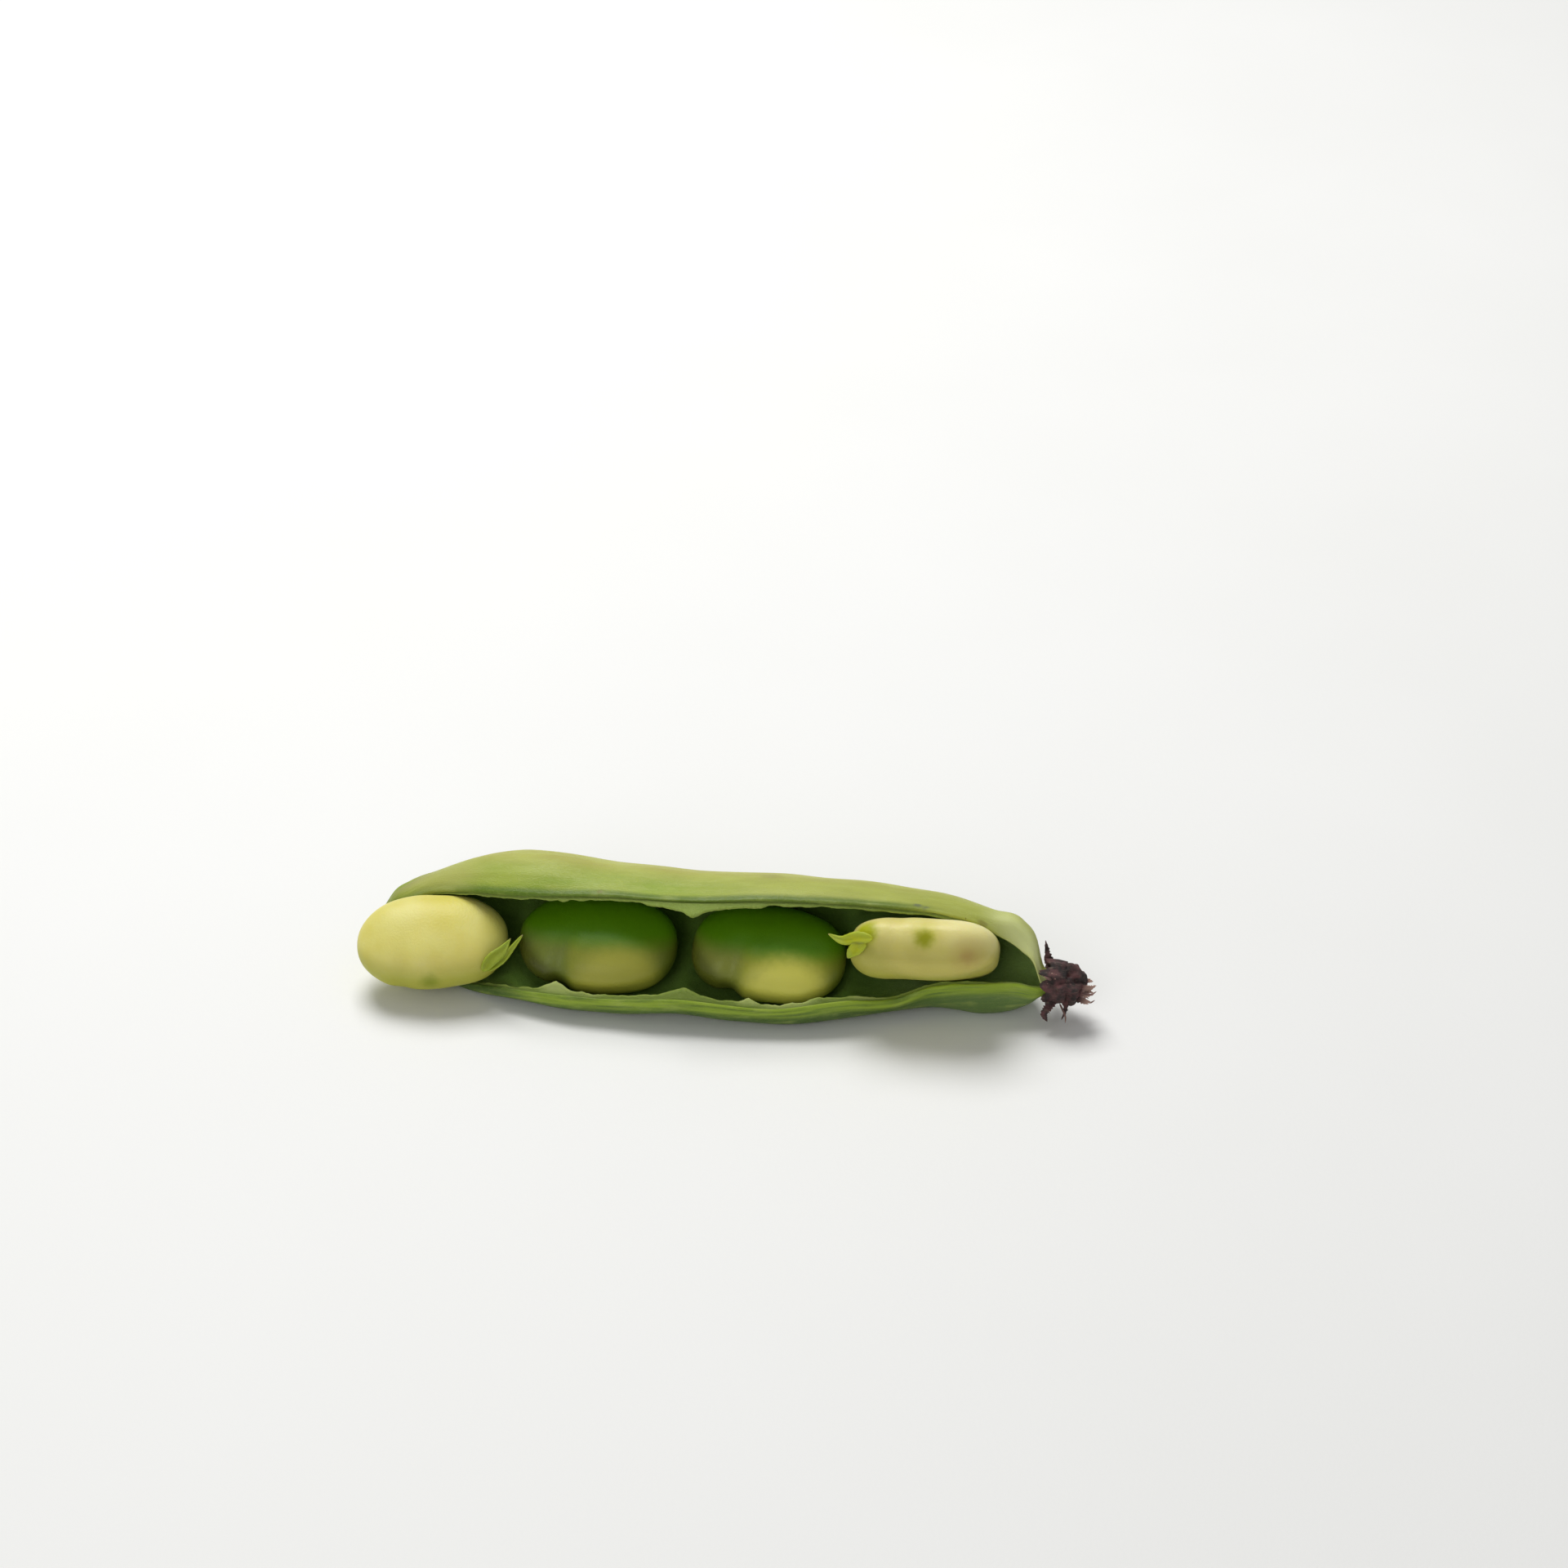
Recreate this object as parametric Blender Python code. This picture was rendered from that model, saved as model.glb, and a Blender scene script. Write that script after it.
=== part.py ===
"""A broad bean pod, split open along its front seam and lying on its lower valve, with its four beans.

Metres, +Z up. X runs along the pod, from the beak (-X) to the stalk (+X), and the mouth faces -Y. The
origin is the middle of the whole object's footprint, on the surface that it lies on. Shapes are worked out
in millimetres in the pod's own axes, which an empty places so that the origin comes out there.
"""
import math

import bmesh
import bpy
import numpy as np
from mathutils import Euler

MM = 0.001
FOOTPRINT_MIDDLE = (2.3, 0.0)

# Sections across the pod, each at its place along it. Each holds five (y, z) points: the back seam, the
# lowest point of the underside, the edge of the lower valve, the top, and the edge of the upper valve.
SECTIONS = {
    -61.4: ((4.7, 5.0), (4.1, 4.5), (3.5, 4.9), (4.1, 5.6), (3.5, 5.2)),
    -60.2: ((5.5, 6.6), (4.4, 5.2), (3.3, 6.1), (4.4, 7.6), (3.3, 6.8)),
    -58.6: ((6.8, 8.8), (4.6, 5.6), (2.4, 7.4), (4.7, 10.6), (2.4, 9.2)),
    -56.0: ((8.2, 10.0), (3.4, 3.8), (0.0, 5.8), (4.8, 13.4), (1.8, 12.2)),
    -52.0: ((10.0, 10.2), (1.0, 1.3), (-4.8, 2.2), (5.4, 15.6), (2.6, 13.7)),
    -45.0: ((12.2, 10.0), (-2.0, -0.3), (-7.6, 1.4), (5.2, 18.1), (0.3, 16.1)),
    -36.0: ((13.8, 10.0), (-5.0, -0.1), (-11.2, 3.4), (4.0, 20.5), (-2.6, 17.9)),
    -17.0: ((14.4, 10.0), (-5.0, -0.5), (-13.6, 4.8), (2.4, 20.1), (-4.0, 19.5)),
    -5.0: ((13.8, 10.0), (-4.6, 0.3), (-13.2, 5.6), (2.4, 20.4), (-3.6, 20.0)),
    13.0: ((13.2, 10.0), (-4.8, -0.5), (-12.4, 5.0), (2.4, 21.2), (-2.0, 20.6)),
    24.0: ((13.0, 10.0), (-3.2, 0.3), (-9.8, 6.2), (3.2, 20.7), (-0.4, 20.4)),
    37.0: ((12.4, 9.8), (0.2, 0.9), (-5.8, 7.0), (3.9, 19.5), (1.6, 19.3)),
    48.0: ((10.4, 9.4), (0.2, -0.5), (-4.0, 7.6), (4.0, 17.3), (1.6, 16.3)),
    53.5: ((8.4, 9.0), (0.2, 1.0), (-3.2, 7.5), (4.0, 16.0), (0.6, 13.3)),
    56.0: ((6.0, 8.2), (0.2, 2.8), (-3.0, 6.9), (2.8, 13.2), (-1.2, 10.6)),
    57.4: ((2.7, 7.1), (0.0, 4.4), (-2.7, 6.8), (0.0, 9.8), (-2.7, 7.4)),
    59.4: ((2.4, 7.1), (0.0, 4.7), (-2.4, 6.8), (0.0, 9.5), (-2.4, 7.4)),
}
MIDDLE_STATIONS = 36
END_STATIONS = 9
END_REACH = 10.0
POINTS_IN_QUARTER = 7
# A Bezier handle of this part of the distance makes a quarter of an ellipse.
ROUND = 0.5523
LOWER_FRONT_FULLNESS = 0.75
# Handles at the valves' free edges, as parts of the front's width and of its rise.
LOWER_EDGE_PULL = (-0.04, -0.5)
UPPER_EDGE_PULL = (0.45, 0.62)

WALL = 2.0
LIP_THICKNESS = 1.2
LIP_ANGLES = (45, 90, 135)
MOST_BULGE_OF_GAP = 0.3
# Parts of the way from a free edge to the back seam that the thin lip and the thin lining take.
LIP_REACH = 0.25
LINING_REACH = 0.4
LINING_BETWEEN_BEANS = 1.6
CHAMBER_WALLS = (-35.0, -5.0, 23.5)
CHAMBER_WALL_SPREAD = 2.6
MOST_WALL_OF_DEPTH = 0.34

# Each bean: its centre, its half length, half width and half thickness, its turns about X, Y and Z in
# degrees, made in the order Z, Y, X, how square its outline is, and the depth of the groove that sets off
# its root tip.
BEANS = {
    "bean_1": ((-49.3, -5.8, 8.5), (13.2, 8.8, 5.2), (24.0, 2.0, 10.0), 2.3, 0.05),
    "bean_2": ((-20.5, -1.8, 8.2), (13.9, 9.4, 5.4), (20.0, 0.0, 0.0), 2.4, 0.26),
    "bean_3": ((9.6, -1.0, 8.5), (13.6, 8.9, 5.4), (23.0, 2.0, -2.0), 2.4, 0.26),
    "bean_4": ((36.5, -1.5, 12.7), (12.9, 8.4, 5.1), (-43.0, -0.5, 0.0), 2.9, 0.05),
}
# In parts of the bean's half sizes: the groove's place, slant and width, how far back it fades out, and how
# much narrower than the rest the root tip is for each part of the groove's depth.
ROOT_TIP_AT = -0.30
GROOVE_SLANT = 0.12
GROOVE_WIDTH = 0.11
GROOVE_STARTS = 0.55
GROOVE_FADE = 1.2
ROOT_TIP_STEP = 0.35
ROOT_TIP_STEP_WIDTH = 0.15
BEAN_SEGMENTS = 24
BEAN_RINGS = 14

# Seed stalks: the places that the middle of each passes, each with its half width there.
FUNICLES = {
    "funicle_1": (
        ((-39.6, -12.2, 6.6), 1.0),
        ((-37.0, -11.6, 8.0), 1.9),
        ((-34.2, -9.9, 10.6), 1.7),
        ((-32.3, -7.9, 13.6), 0.5),
    ),
    "funicle_4": (
        ((28.9, -8.2, 17.9), 1.6),
        ((25.9, -7.6, 16.7), 2.2),
        ((22.9, -6.4, 16.4), 1.6),
        ((20.3, -5.4, 17.4), 0.5),
    ),
}
FUNICLE_HALF_THICKNESS = 0.45
STEP_ALONG_STRAP = 0.01
FACING_VIEWER = (0.0, -0.8, 0.6)

# The withered calyx: a ragged knob with a collar round the neck, and its lobes and frayed strands.
KNOB_MIDDLE = (61.2, 0.0, 7.2)
KNOB_HALF_SIZES = (4.0, 3.7, 3.8)
KNOB_SEGMENTS = 20
KNOB_RINGS = 12
# Folds that run along the knob: how many round it, how deep, and how far they twist.
KNOB_FOLDS = ((5, 0.06, 0), (3, 0.04, 4))
COLLAR_START = 57.9
COLLAR_START_RADIUS = 3.7
COLLAR_END_RADIUS = 3.9
SOCKET_RADIUS = 3.2
SOCKET_END = 60.0
CUTTER_OVERRUN = 2.0
NECK_CENTRE = (0.0, 7.1)
LOBES = (
    (((60.4, 1.6, 8.8), 1.8), ((59.5, 3.6, 11.0), 1.3), ((58.7, 4.8, 13.0), 0.4)),
    (((60.4, -1.8, 5.6), 1.8), ((59.0, -3.9, 4.3), 1.4), ((58.6, -5.2, 2.9), 0.5)),
    (((60.6, 2.0, 5.8), 1.8), ((59.4, 4.1, 4.7), 1.4), ((59.1, 5.1, 3.2), 0.5)),
    (((61.4, -1.8, 5.6), 0.9), ((61.6, -3.6, 3.7), 0.6), ((61.3, -4.2, 2.1), 0.4)),
    (((63.2, -1.4, 7.0), 1.9), ((65.2, -1.6, 7.3), 1.6), ((66.9, -1.2, 7.9), 0.5)),
    (((63.2, 0.4, 5.8), 1.7), ((65.0, 0.6, 5.2), 1.4), ((66.4, 0.5, 4.6), 0.5)),
    (((63.0, 1.2, 8.2), 1.7), ((64.6, 1.7, 8.9), 1.4), ((65.8, 2.1, 9.2), 0.5)),
)
LOBE_HALF_THICKNESS = 0.4

# Colours as seen, 0 to 255, and roughness.
LOOKS = {
    "pod": ((150, 168, 84), 0.45),
    "calyx": ((74, 60, 58), 0.8),
    "bean_1": ((216, 206, 124), 0.45),
    "bean_2": ((120, 130, 50), 0.4),
    "bean_3": ((132, 140, 56), 0.4),
    "bean_4": ((222, 212, 138), 0.45),
    "funicle_1": ((140, 156, 40), 0.5),
    "funicle_4": ((159, 166, 44), 0.5),
}


def through(at, places, values):
    """A smooth curve through values at places, read at `at`."""
    slopes = np.gradient(values, places, axis=0)
    i = min(max(int(np.searchsorted(places, at)) - 1, 0), len(places) - 2)
    span = places[i + 1] - places[i]
    t = (at - places[i]) / span
    return (
        (2 * t**3 - 3 * t**2 + 1) * values[i]
        + (t**3 - 2 * t**2 + t) * span * slopes[i]
        + (3 * t**2 - 2 * t**3) * values[i + 1]
        + (t**3 - t**2) * span * slopes[i + 1]
    )


def bezier(start, start_handle, end_handle, end, count):
    t = np.linspace(0, 1, count)[:, None]
    return (
        (1 - t) ** 3 * start
        + 3 * (1 - t) ** 2 * t * start_handle
        + 3 * (1 - t) * t**2 * end_handle
        + t**3 * end
    )


def ease(t):
    t = np.clip(t, 0, 1)
    return t * t * (3 - 2 * t)


def valve_outline(seam, far, edge, fullness, edge_handle):
    """Points from the back seam, round the far side of the valve, to its free edge."""
    back = bezier(
        seam,
        seam + (0, ROUND * (far[1] - seam[1])),
        far + (ROUND * (seam[0] - far[0]), 0),
        far,
        POINTS_IN_QUARTER,
    )
    front_handle = far + (fullness * (edge[0] - far[0]), 0)
    front = bezier(far, front_handle, edge + edge_handle, edge, POINTS_IN_QUARTER)
    return np.vstack([back, front[1:]])


def lip(outer, inner, outward, gap):
    """Three points that round a valve's edge over, from its outer to its inner side."""
    middle = (outer + inner) / 2
    bulge = min(np.linalg.norm(outer - inner) / 2, MOST_BULGE_OF_GAP * gap)
    angles = np.radians(LIP_ANGLES)[:, None]
    return middle + (outer - middle) * np.cos(angles) + outward * bulge * np.sin(angles)


def wall_thickness(x, from_edge, depth):
    """The wall at each point of a section: thin at the lips, thick between the beans."""
    wall = LIP_THICKNESS + (WALL - LIP_THICKNESS) * ease(from_edge / LIP_REACH)
    between = sum(math.exp(-(((x - at) / CHAMBER_WALL_SPREAD) ** 2)) for at in CHAMBER_WALLS)
    wall = wall + LINING_BETWEEN_BEANS * between * ease(from_edge / LINING_REACH)
    return np.minimum(wall, MOST_WALL_OF_DEPTH * depth)


def pod_section(x):
    """The closed outline of the open pod at x, as (y, z) points: a letter C whose mouth faces -Y."""
    places = np.array(sorted(SECTIONS))
    values = np.array([SECTIONS[place] for place in places])
    seam, bottom, low_edge, top, high_edge = through(x, places, values)
    low_handle = (seam[0] - low_edge[0], low_edge[1] - bottom[1]) * np.array(LOWER_EDGE_PULL)
    high_handle = (top - high_edge) * UPPER_EDGE_PULL
    lower = valve_outline(seam, bottom, low_edge, LOWER_FRONT_FULLNESS, low_handle)
    upper = valve_outline(seam, top, high_edge, ROUND, high_handle)
    outer = np.vstack([lower[::-1], upper[1:]])

    along = np.gradient(outer, axis=0)
    along /= np.linalg.norm(along, axis=1)[:, None]
    inward = np.column_stack([-along[:, 1], along[:, 0]])
    run = np.concatenate([[0], np.cumsum(np.linalg.norm(np.diff(outer, axis=0), axis=1))])
    from_edge = np.minimum(run, run[-1] - run) / (run[-1] / 2)
    depth = min(seam[0] - low_edge[0], top[1] - bottom[1])
    inner = outer + inward * wall_thickness(x, from_edge, depth)[:, None]

    outer[:, 1] = np.maximum(outer[:, 1], 0)
    gap = np.linalg.norm(high_edge - low_edge)
    high_lip = lip(outer[-1], inner[-1], along[-1], gap)
    low_lip = lip(inner[0], outer[0], -along[0], gap)
    return np.vstack([outer, high_lip, inner[::-1], low_lip])


def pod_stations():
    """Places along the pod, closer together towards its ends."""
    start, end = min(SECTIONS), max(SECTIONS)
    return np.concatenate(
        [
            np.linspace(start, start + END_REACH, END_STATIONS, endpoint=False),
            np.linspace(start + END_REACH, end - END_REACH, MIDDLE_STATIONS, endpoint=False),
            np.linspace(end - END_REACH, end, END_STATIONS),
        ]
    )


def lofted(rings):
    """Corners and faces of a closed body through rings of points, with a flat face at each end."""
    count = len(rings[0])
    faces = []
    for r in range(len(rings) - 1):
        for k in range(count):
            after = (k + 1) % count
            faces.append((r * count + k, r * count + after, (r + 1) * count + after, (r + 1) * count + k))
    faces.append(tuple(range(count)))
    faces.append(tuple(range((len(rings) - 1) * count, len(rings) * count)))
    return np.vstack(rings), faces


def add_object(name, corners, faces, collection, axes):
    """A mesh object from corners in millimetres, under the pod's axes."""
    mesh = bpy.data.meshes.new(name)
    mesh.from_pydata((np.asarray(corners) * MM).tolist(), [], faces)
    made = bmesh.new()
    made.from_mesh(mesh)
    bmesh.ops.recalc_face_normals(made, faces=made.faces)
    made.to_mesh(mesh)
    made.free()
    mesh.shade_smooth()
    obj = bpy.data.objects.new(name, mesh)
    obj.parent = axes
    collection.objects.link(obj)
    return obj


def make_pod(collection, axes):
    rings = []
    for x in pod_stations():
        outline = pod_section(x)
        rings.append(np.column_stack([np.full(len(outline), x), outline]))
    return add_object("pod", *lofted(rings), collection, axes)


def bean_point(direction, half_sizes, squareness, groove):
    """A point of a bean's skin: a flat oval, with a groove from its front edge beside the root tip."""
    size = sum(abs(part) ** squareness for part in direction) ** (-1 / squareness)
    along, across, up = (part * size for part in direction)
    from_groove = along - (ROOT_TIP_AT + GROOVE_SLANT * across)
    notch = math.exp(-((from_groove / GROOVE_WIDTH) ** 2))
    step = ROOT_TIP_STEP * ease(-from_groove / ROOT_TIP_STEP_WIDTH)
    pinch = 1 - groove * (notch + step) * ease((GROOVE_STARTS - across) / GROOVE_FADE)
    half_length, half_width, half_thickness = half_sizes
    return (half_length * along, half_width * across * pinch, half_thickness * up * pinch)


def make_bean(name, collection, axes):
    centre, half_sizes, turns, squareness, groove = BEANS[name]
    made = bmesh.new()
    bmesh.ops.create_uvsphere(made, u_segments=BEAN_SEGMENTS, v_segments=BEAN_RINGS, radius=1)
    for vertex in made.verts:
        # The sphere's poles are turned to the ends of the bean.
        direction = (vertex.co.z, vertex.co.y, -vertex.co.x)
        place = bean_point(direction, half_sizes, squareness, groove)
        vertex.co = [part * MM for part in place]
    mesh = bpy.data.meshes.new(name)
    made.to_mesh(mesh)
    made.free()
    mesh.shade_smooth()
    bean = bpy.data.objects.new(name, mesh)
    bean.parent = axes
    bean.location = [part * MM for part in centre]
    bean.rotation_mode = "ZYX"
    bean.rotation_euler = Euler([math.radians(turn) for turn in turns], "ZYX")
    collection.objects.link(bean)
    return bean


def strap(stops, half_thickness, sides=8, rings=9):
    """A thin tapering strap through stops, each a place and a half width, with its broad side to the viewer."""
    places = np.array([place for place, _ in stops])
    widths = np.array([width for _, width in stops])
    at = np.arange(len(stops), dtype=float)
    loops = []
    for t in np.linspace(0, at[-1], rings):
        here = through(t, at, places)
        before, after = max(t - STEP_ALONG_STRAP, 0), min(t + STEP_ALONG_STRAP, at[-1])
        ahead = through(after, at, places) - through(before, at, places)
        ahead /= np.linalg.norm(ahead)
        across = np.cross(ahead, FACING_VIEWER)
        across /= np.linalg.norm(across)
        up = np.cross(across, ahead)
        width = through(t, at, widths)
        angles = 2 * math.pi * np.arange(sides)[:, None] / sides
        loops.append(here + across * width * np.cos(angles) + up * half_thickness * np.sin(angles))
    return lofted(loops)


def make_funicle(name, collection, axes):
    corners, faces = strap(FUNICLES[name], FUNICLE_HALF_THICKNESS)
    return add_object(name, corners, faces, collection, axes)


def knob_corners():
    """The withered knob: a ball with shallow folds that run along it."""
    made = bmesh.new()
    bmesh.ops.create_uvsphere(made, u_segments=KNOB_SEGMENTS, v_segments=KNOB_RINGS, radius=1)
    corners = []
    for vertex in made.verts:
        angle = math.atan2(vertex.co.y, vertex.co.x)
        fold = 1
        for count, depth, twist in KNOB_FOLDS:
            fold += depth * math.sin(count * angle + twist * vertex.co.z)
        # The ball's poles point along the pod.
        unit = (vertex.co.z, vertex.co.y * fold, -vertex.co.x * fold)
        corners.append([m + h * u for m, h, u in zip(KNOB_MIDDLE, KNOB_HALF_SIZES, unit)])
    faces = [tuple(v.index for v in face.verts) for face in made.faces]
    made.free()
    return corners, faces


def round_bar(start, end, start_radius, end_radius, sides=20):
    """A round bar along X, centred on the neck."""
    angles = 2 * math.pi * np.arange(sides) / sides
    rings = []
    for x, radius in ((start, start_radius), (end, end_radius)):
        ys = NECK_CENTRE[0] + radius * np.cos(angles)
        zs = NECK_CENTRE[1] + radius * np.sin(angles)
        rings.append(np.column_stack([np.full(sides, x), ys, zs]))
    return lofted(rings)


def add_helper(name, corners, faces, helpers, axes):
    helper = add_object(name, corners, faces, helpers, axes)
    helper.hide_render = True
    helper.display_type = "WIRE"
    return helper


def add_boolean(obj, operation, other):
    modifier = obj.modifiers.new(other.name, "BOOLEAN")
    modifier.operation = operation
    modifier.solver = "EXACT"
    modifier.object = other


def make_calyx(collection, helpers, axes):
    """The knob, joined with its collar, lobes and strands, and bored for the neck of the pod."""
    calyx = add_object("calyx", *knob_corners(), collection, axes)
    collar = round_bar(COLLAR_START, KNOB_MIDDLE[0], COLLAR_START_RADIUS, COLLAR_END_RADIUS)
    add_boolean(calyx, "UNION", add_helper("calyx_collar", *collar, helpers, axes))
    for number, stops in enumerate(LOBES, 1):
        lobe = strap(stops, LOBE_HALF_THICKNESS, sides=6, rings=6)
        add_boolean(calyx, "UNION", add_helper(f"calyx_lobe_{number}", *lobe, helpers, axes))
    socket = round_bar(COLLAR_START - CUTTER_OVERRUN, SOCKET_END, SOCKET_RADIUS, SOCKET_RADIUS)
    add_boolean(calyx, "DIFFERENCE", add_helper("neck_socket", *socket, helpers, axes))
    return calyx


def linear(level):
    """One channel of a seen colour, 0 to 255, as linear light."""
    level = level / 255
    return level / 12.92 if level <= 0.04045 else ((level + 0.055) / 1.055) ** 2.4


def paint(obj):
    colour, roughness = LOOKS[obj.name]
    material = bpy.data.materials.new(obj.name)
    material.use_nodes = True
    shader = material.node_tree.nodes["Principled BSDF"]
    shader.inputs["Base Color"].default_value = [linear(level) for level in colour] + [1]
    shader.inputs["Roughness"].default_value = roughness
    shader.inputs["Metallic"].default_value = 0
    obj.data.materials.append(material)


def new_collection(name):
    collection = bpy.data.collections.new(name)
    bpy.context.scene.collection.children.link(collection)
    return collection


def main():
    for obj in list(bpy.data.objects):
        bpy.data.objects.remove(obj, do_unlink=True)
    collection = new_collection("broad_bean_pod")
    helpers = new_collection("cutters")
    axes = bpy.data.objects.new("pod_axes", None)
    axes.location = (-FOOTPRINT_MIDDLE[0] * MM, -FOOTPRINT_MIDDLE[1] * MM, 0)
    collection.objects.link(axes)
    parts = [make_pod(collection, axes), make_calyx(collection, helpers, axes)]
    parts += [make_bean(name, collection, axes) for name in BEANS]
    parts += [make_funicle(name, collection, axes) for name in FUNICLES]
    for obj in parts:
        paint(obj)


main()
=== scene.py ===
"""Looks of a broad bean pod, split open along its front seam and lying on its lower valve, with its beans.

Metres, +Z up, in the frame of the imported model. Finer pieces of the same form stand in for the model's own.
Shapes are worked out in millimetres in the pod's own axes: X runs along the pod from its beak to its stalk,
and the mouth faces -Y.
"""

import math

import bmesh
import bpy
import numpy as np
from mathutils import Euler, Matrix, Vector


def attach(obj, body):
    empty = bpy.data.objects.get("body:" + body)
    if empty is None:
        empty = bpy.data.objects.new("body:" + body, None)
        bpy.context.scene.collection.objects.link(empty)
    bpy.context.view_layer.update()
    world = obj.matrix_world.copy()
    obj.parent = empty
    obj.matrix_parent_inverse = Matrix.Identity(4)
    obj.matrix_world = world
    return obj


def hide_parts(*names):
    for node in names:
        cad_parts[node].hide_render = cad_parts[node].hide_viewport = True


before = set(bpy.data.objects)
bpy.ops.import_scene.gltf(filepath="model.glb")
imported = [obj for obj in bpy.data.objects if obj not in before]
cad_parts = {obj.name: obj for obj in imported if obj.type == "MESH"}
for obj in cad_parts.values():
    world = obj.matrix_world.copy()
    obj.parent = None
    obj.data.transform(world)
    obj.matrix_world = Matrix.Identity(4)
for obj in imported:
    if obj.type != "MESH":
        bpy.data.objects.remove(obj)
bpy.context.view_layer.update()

MM = 0.001
FOOTPRINT_MIDDLE = (2.3, 0.0)
FLOOR_SIZE = 1.6

# The camera: its angles, its lens, its distance and how near it can see. It looks at a place to the right of
# the pod's middle and above it. Lengths are in millimetres.
CAMERA_AZIMUTH = 8.0
CAMERA_ELEVATION = 35.0
CAMERA_LENS = 85.0
CAMERA_SENSOR = 36.0
CAMERA_DISTANCE = 648.0
CAMERA_NEAREST = 10.0
POD_MIDDLE = (0.0, 0.0, 10.0)
LOOKS_RIGHT_OF_MIDDLE = 12.0
LOOKS_ABOVE_MIDDLE = 27.14

# Soft lights over an even glow, each with its place and size in metres and its power in watts: a strong one
# above and behind, and a weak one in front.
LIGHTS = {
    "key": ((-0.24, 0.46, 0.86), 0.55, 8.0),
    "front_fill": ((-0.25, -0.9, 0.55), 0.6, 1.9),
}
GLOW = 0.26

# Sections across the pod, each at its place along it. Each holds five (y, z) points: the back seam, the
# lowest point of the underside, the edge of the lower valve, the top, and the edge of the upper valve.
# What would reach below the floor is made flat.
SECTIONS = {
    -61.4: ((4.7, 5.0), (4.1, 4.5), (3.5, 4.9), (4.1, 5.6), (3.5, 5.2)),
    -60.2: ((5.5, 6.6), (4.4, 5.2), (3.3, 6.1), (4.4, 8.0), (3.3, 7.0)),
    -58.6: ((6.8, 8.8), (4.6, 5.6), (2.4, 7.4), (4.7, 10.6), (2.4, 9.2)),
    -56.0: ((8.2, 10.0), (3.4, 3.8), (0.0, 5.8), (4.8, 12.3), (1.8, 11.3)),
    -52.0: ((10.0, 10.2), (1.0, 1.3), (-4.8, 2.2), (5.4, 14.1), (2.7, 13.1)),
    -45.0: ((12.2, 10.0), (-2.0, -0.3), (-7.6, 1.4), (5.2, 17.8), (0.3, 16.1)),
    -36.0: ((13.8, 10.0), (-5.0, -0.1), (-11.2, 3.4), (4.0, 20.5), (-2.3, 18.2)),
    -17.0: ((14.4, 10.0), (-5.0, -0.5), (-13.6, 4.8), (2.4, 20.0), (-2.4, 19.8)),
    -5.0: ((13.8, 10.0), (-4.6, 0.3), (-13.2, 5.6), (2.4, 19.9), (-2.2, 19.9)),
    13.0: ((13.2, 10.0), (-4.8, -0.5), (-12.4, 5.0), (2.4, 21.1), (-0.9, 20.8)),
    24.0: ((13.0, 10.0), (-3.2, 0.3), (-9.8, 5.9), (3.2, 20.6), (0.2, 20.4)),
    32.5: ((12.7, 9.9), (-0.9, 0.8), (-7.2, 5.3), (3.7, 20.0), (0.9, 19.8)),
    38.0: ((12.3, 9.8), (0.3, 0.8), (-5.6, 7.0), (3.9, 19.3), (1.7, 19.1)),
    48.0: ((10.4, 9.4), (0.2, -0.5), (-4.0, 7.6), (4.0, 17.3), (1.6, 16.3)),
    53.5: ((8.4, 9.0), (0.2, 1.0), (-3.2, 7.5), (4.0, 16.0), (0.6, 13.3)),
    56.0: ((6.0, 8.2), (0.2, 2.8), (-3.0, 6.9), (2.8, 13.2), (-0.9, 11.7)),
    57.4: ((2.7, 7.1), (0.0, 4.4), (-2.7, 6.8), (0.0, 9.8), (-2.3, 8.6)),
    59.4: ((2.4, 7.1), (0.0, 4.7), (-2.4, 6.8), (0.0, 9.5), (-2.4, 7.4)),
}
SECTION_PLACES = np.array(sorted(SECTIONS))
SECTION_POINTS = np.array([SECTIONS[place] for place in SECTION_PLACES])
STATIONS = 290
POINTS_IN_QUARTER = 38
LIP_POINTS = 15
# Bezier handles, as parts of the distances that they span. The first makes a quarter of an ellipse. The two
# pulls hold one part for y and one for z.
ROUND = 0.5523
LOWER_FRONT_FULLNESS = 0.75
LOWER_EDGE_PULL = (-0.04, -0.5)
UPPER_EDGE_PULL = (0.45, 0.62)
# The rounded tip of the beak: how far each ring lies before the first section, and its size.
BEAK_RINGS = ((0.50, 0.08), (0.46, 0.38), (0.36, 0.68), (0.20, 0.90))

# Every uneven surface is a sum of this many waves, whose lengths vary between these parts of the one given.
RIPPLE_WAVES = 7
RIPPLE_LENGTHS = (0.7, 1.5)

# The way round a section from lip to lip is counted as this long everywhere, so that the skin's pattern
# keeps its place where the pod gets narrow.
TYPICAL_GIRTH = 76.0
# The lining's pattern is read this far away from the skin's.
PATTERN_DEPTH = 10.0

# The wall: its thickness and that of the lips, and how much thicker it is where the lining stands between
# two beans, with the places and the spread of that. Then the parts of the way from lip to seam in which the
# wall and the lining get to their full thickness. The wall takes up no more than a part of the pod's depth,
# and a lip bulges by no more than a part of the open gap.
WALL = 2.0
LIP_THICKNESS = 1.2
LINING_BETWEEN_BEANS = 1.6
CHAMBER_WALLS = (-35.0, -5.0, 23.5)
CHAMBER_WALL_SPREAD = 2.6
LIP_REACH = 0.25
LINING_REACH = 0.4
MOST_WALL_OF_DEPTH = 0.34
MOST_BULGE_OF_GAP = 0.3

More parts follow.
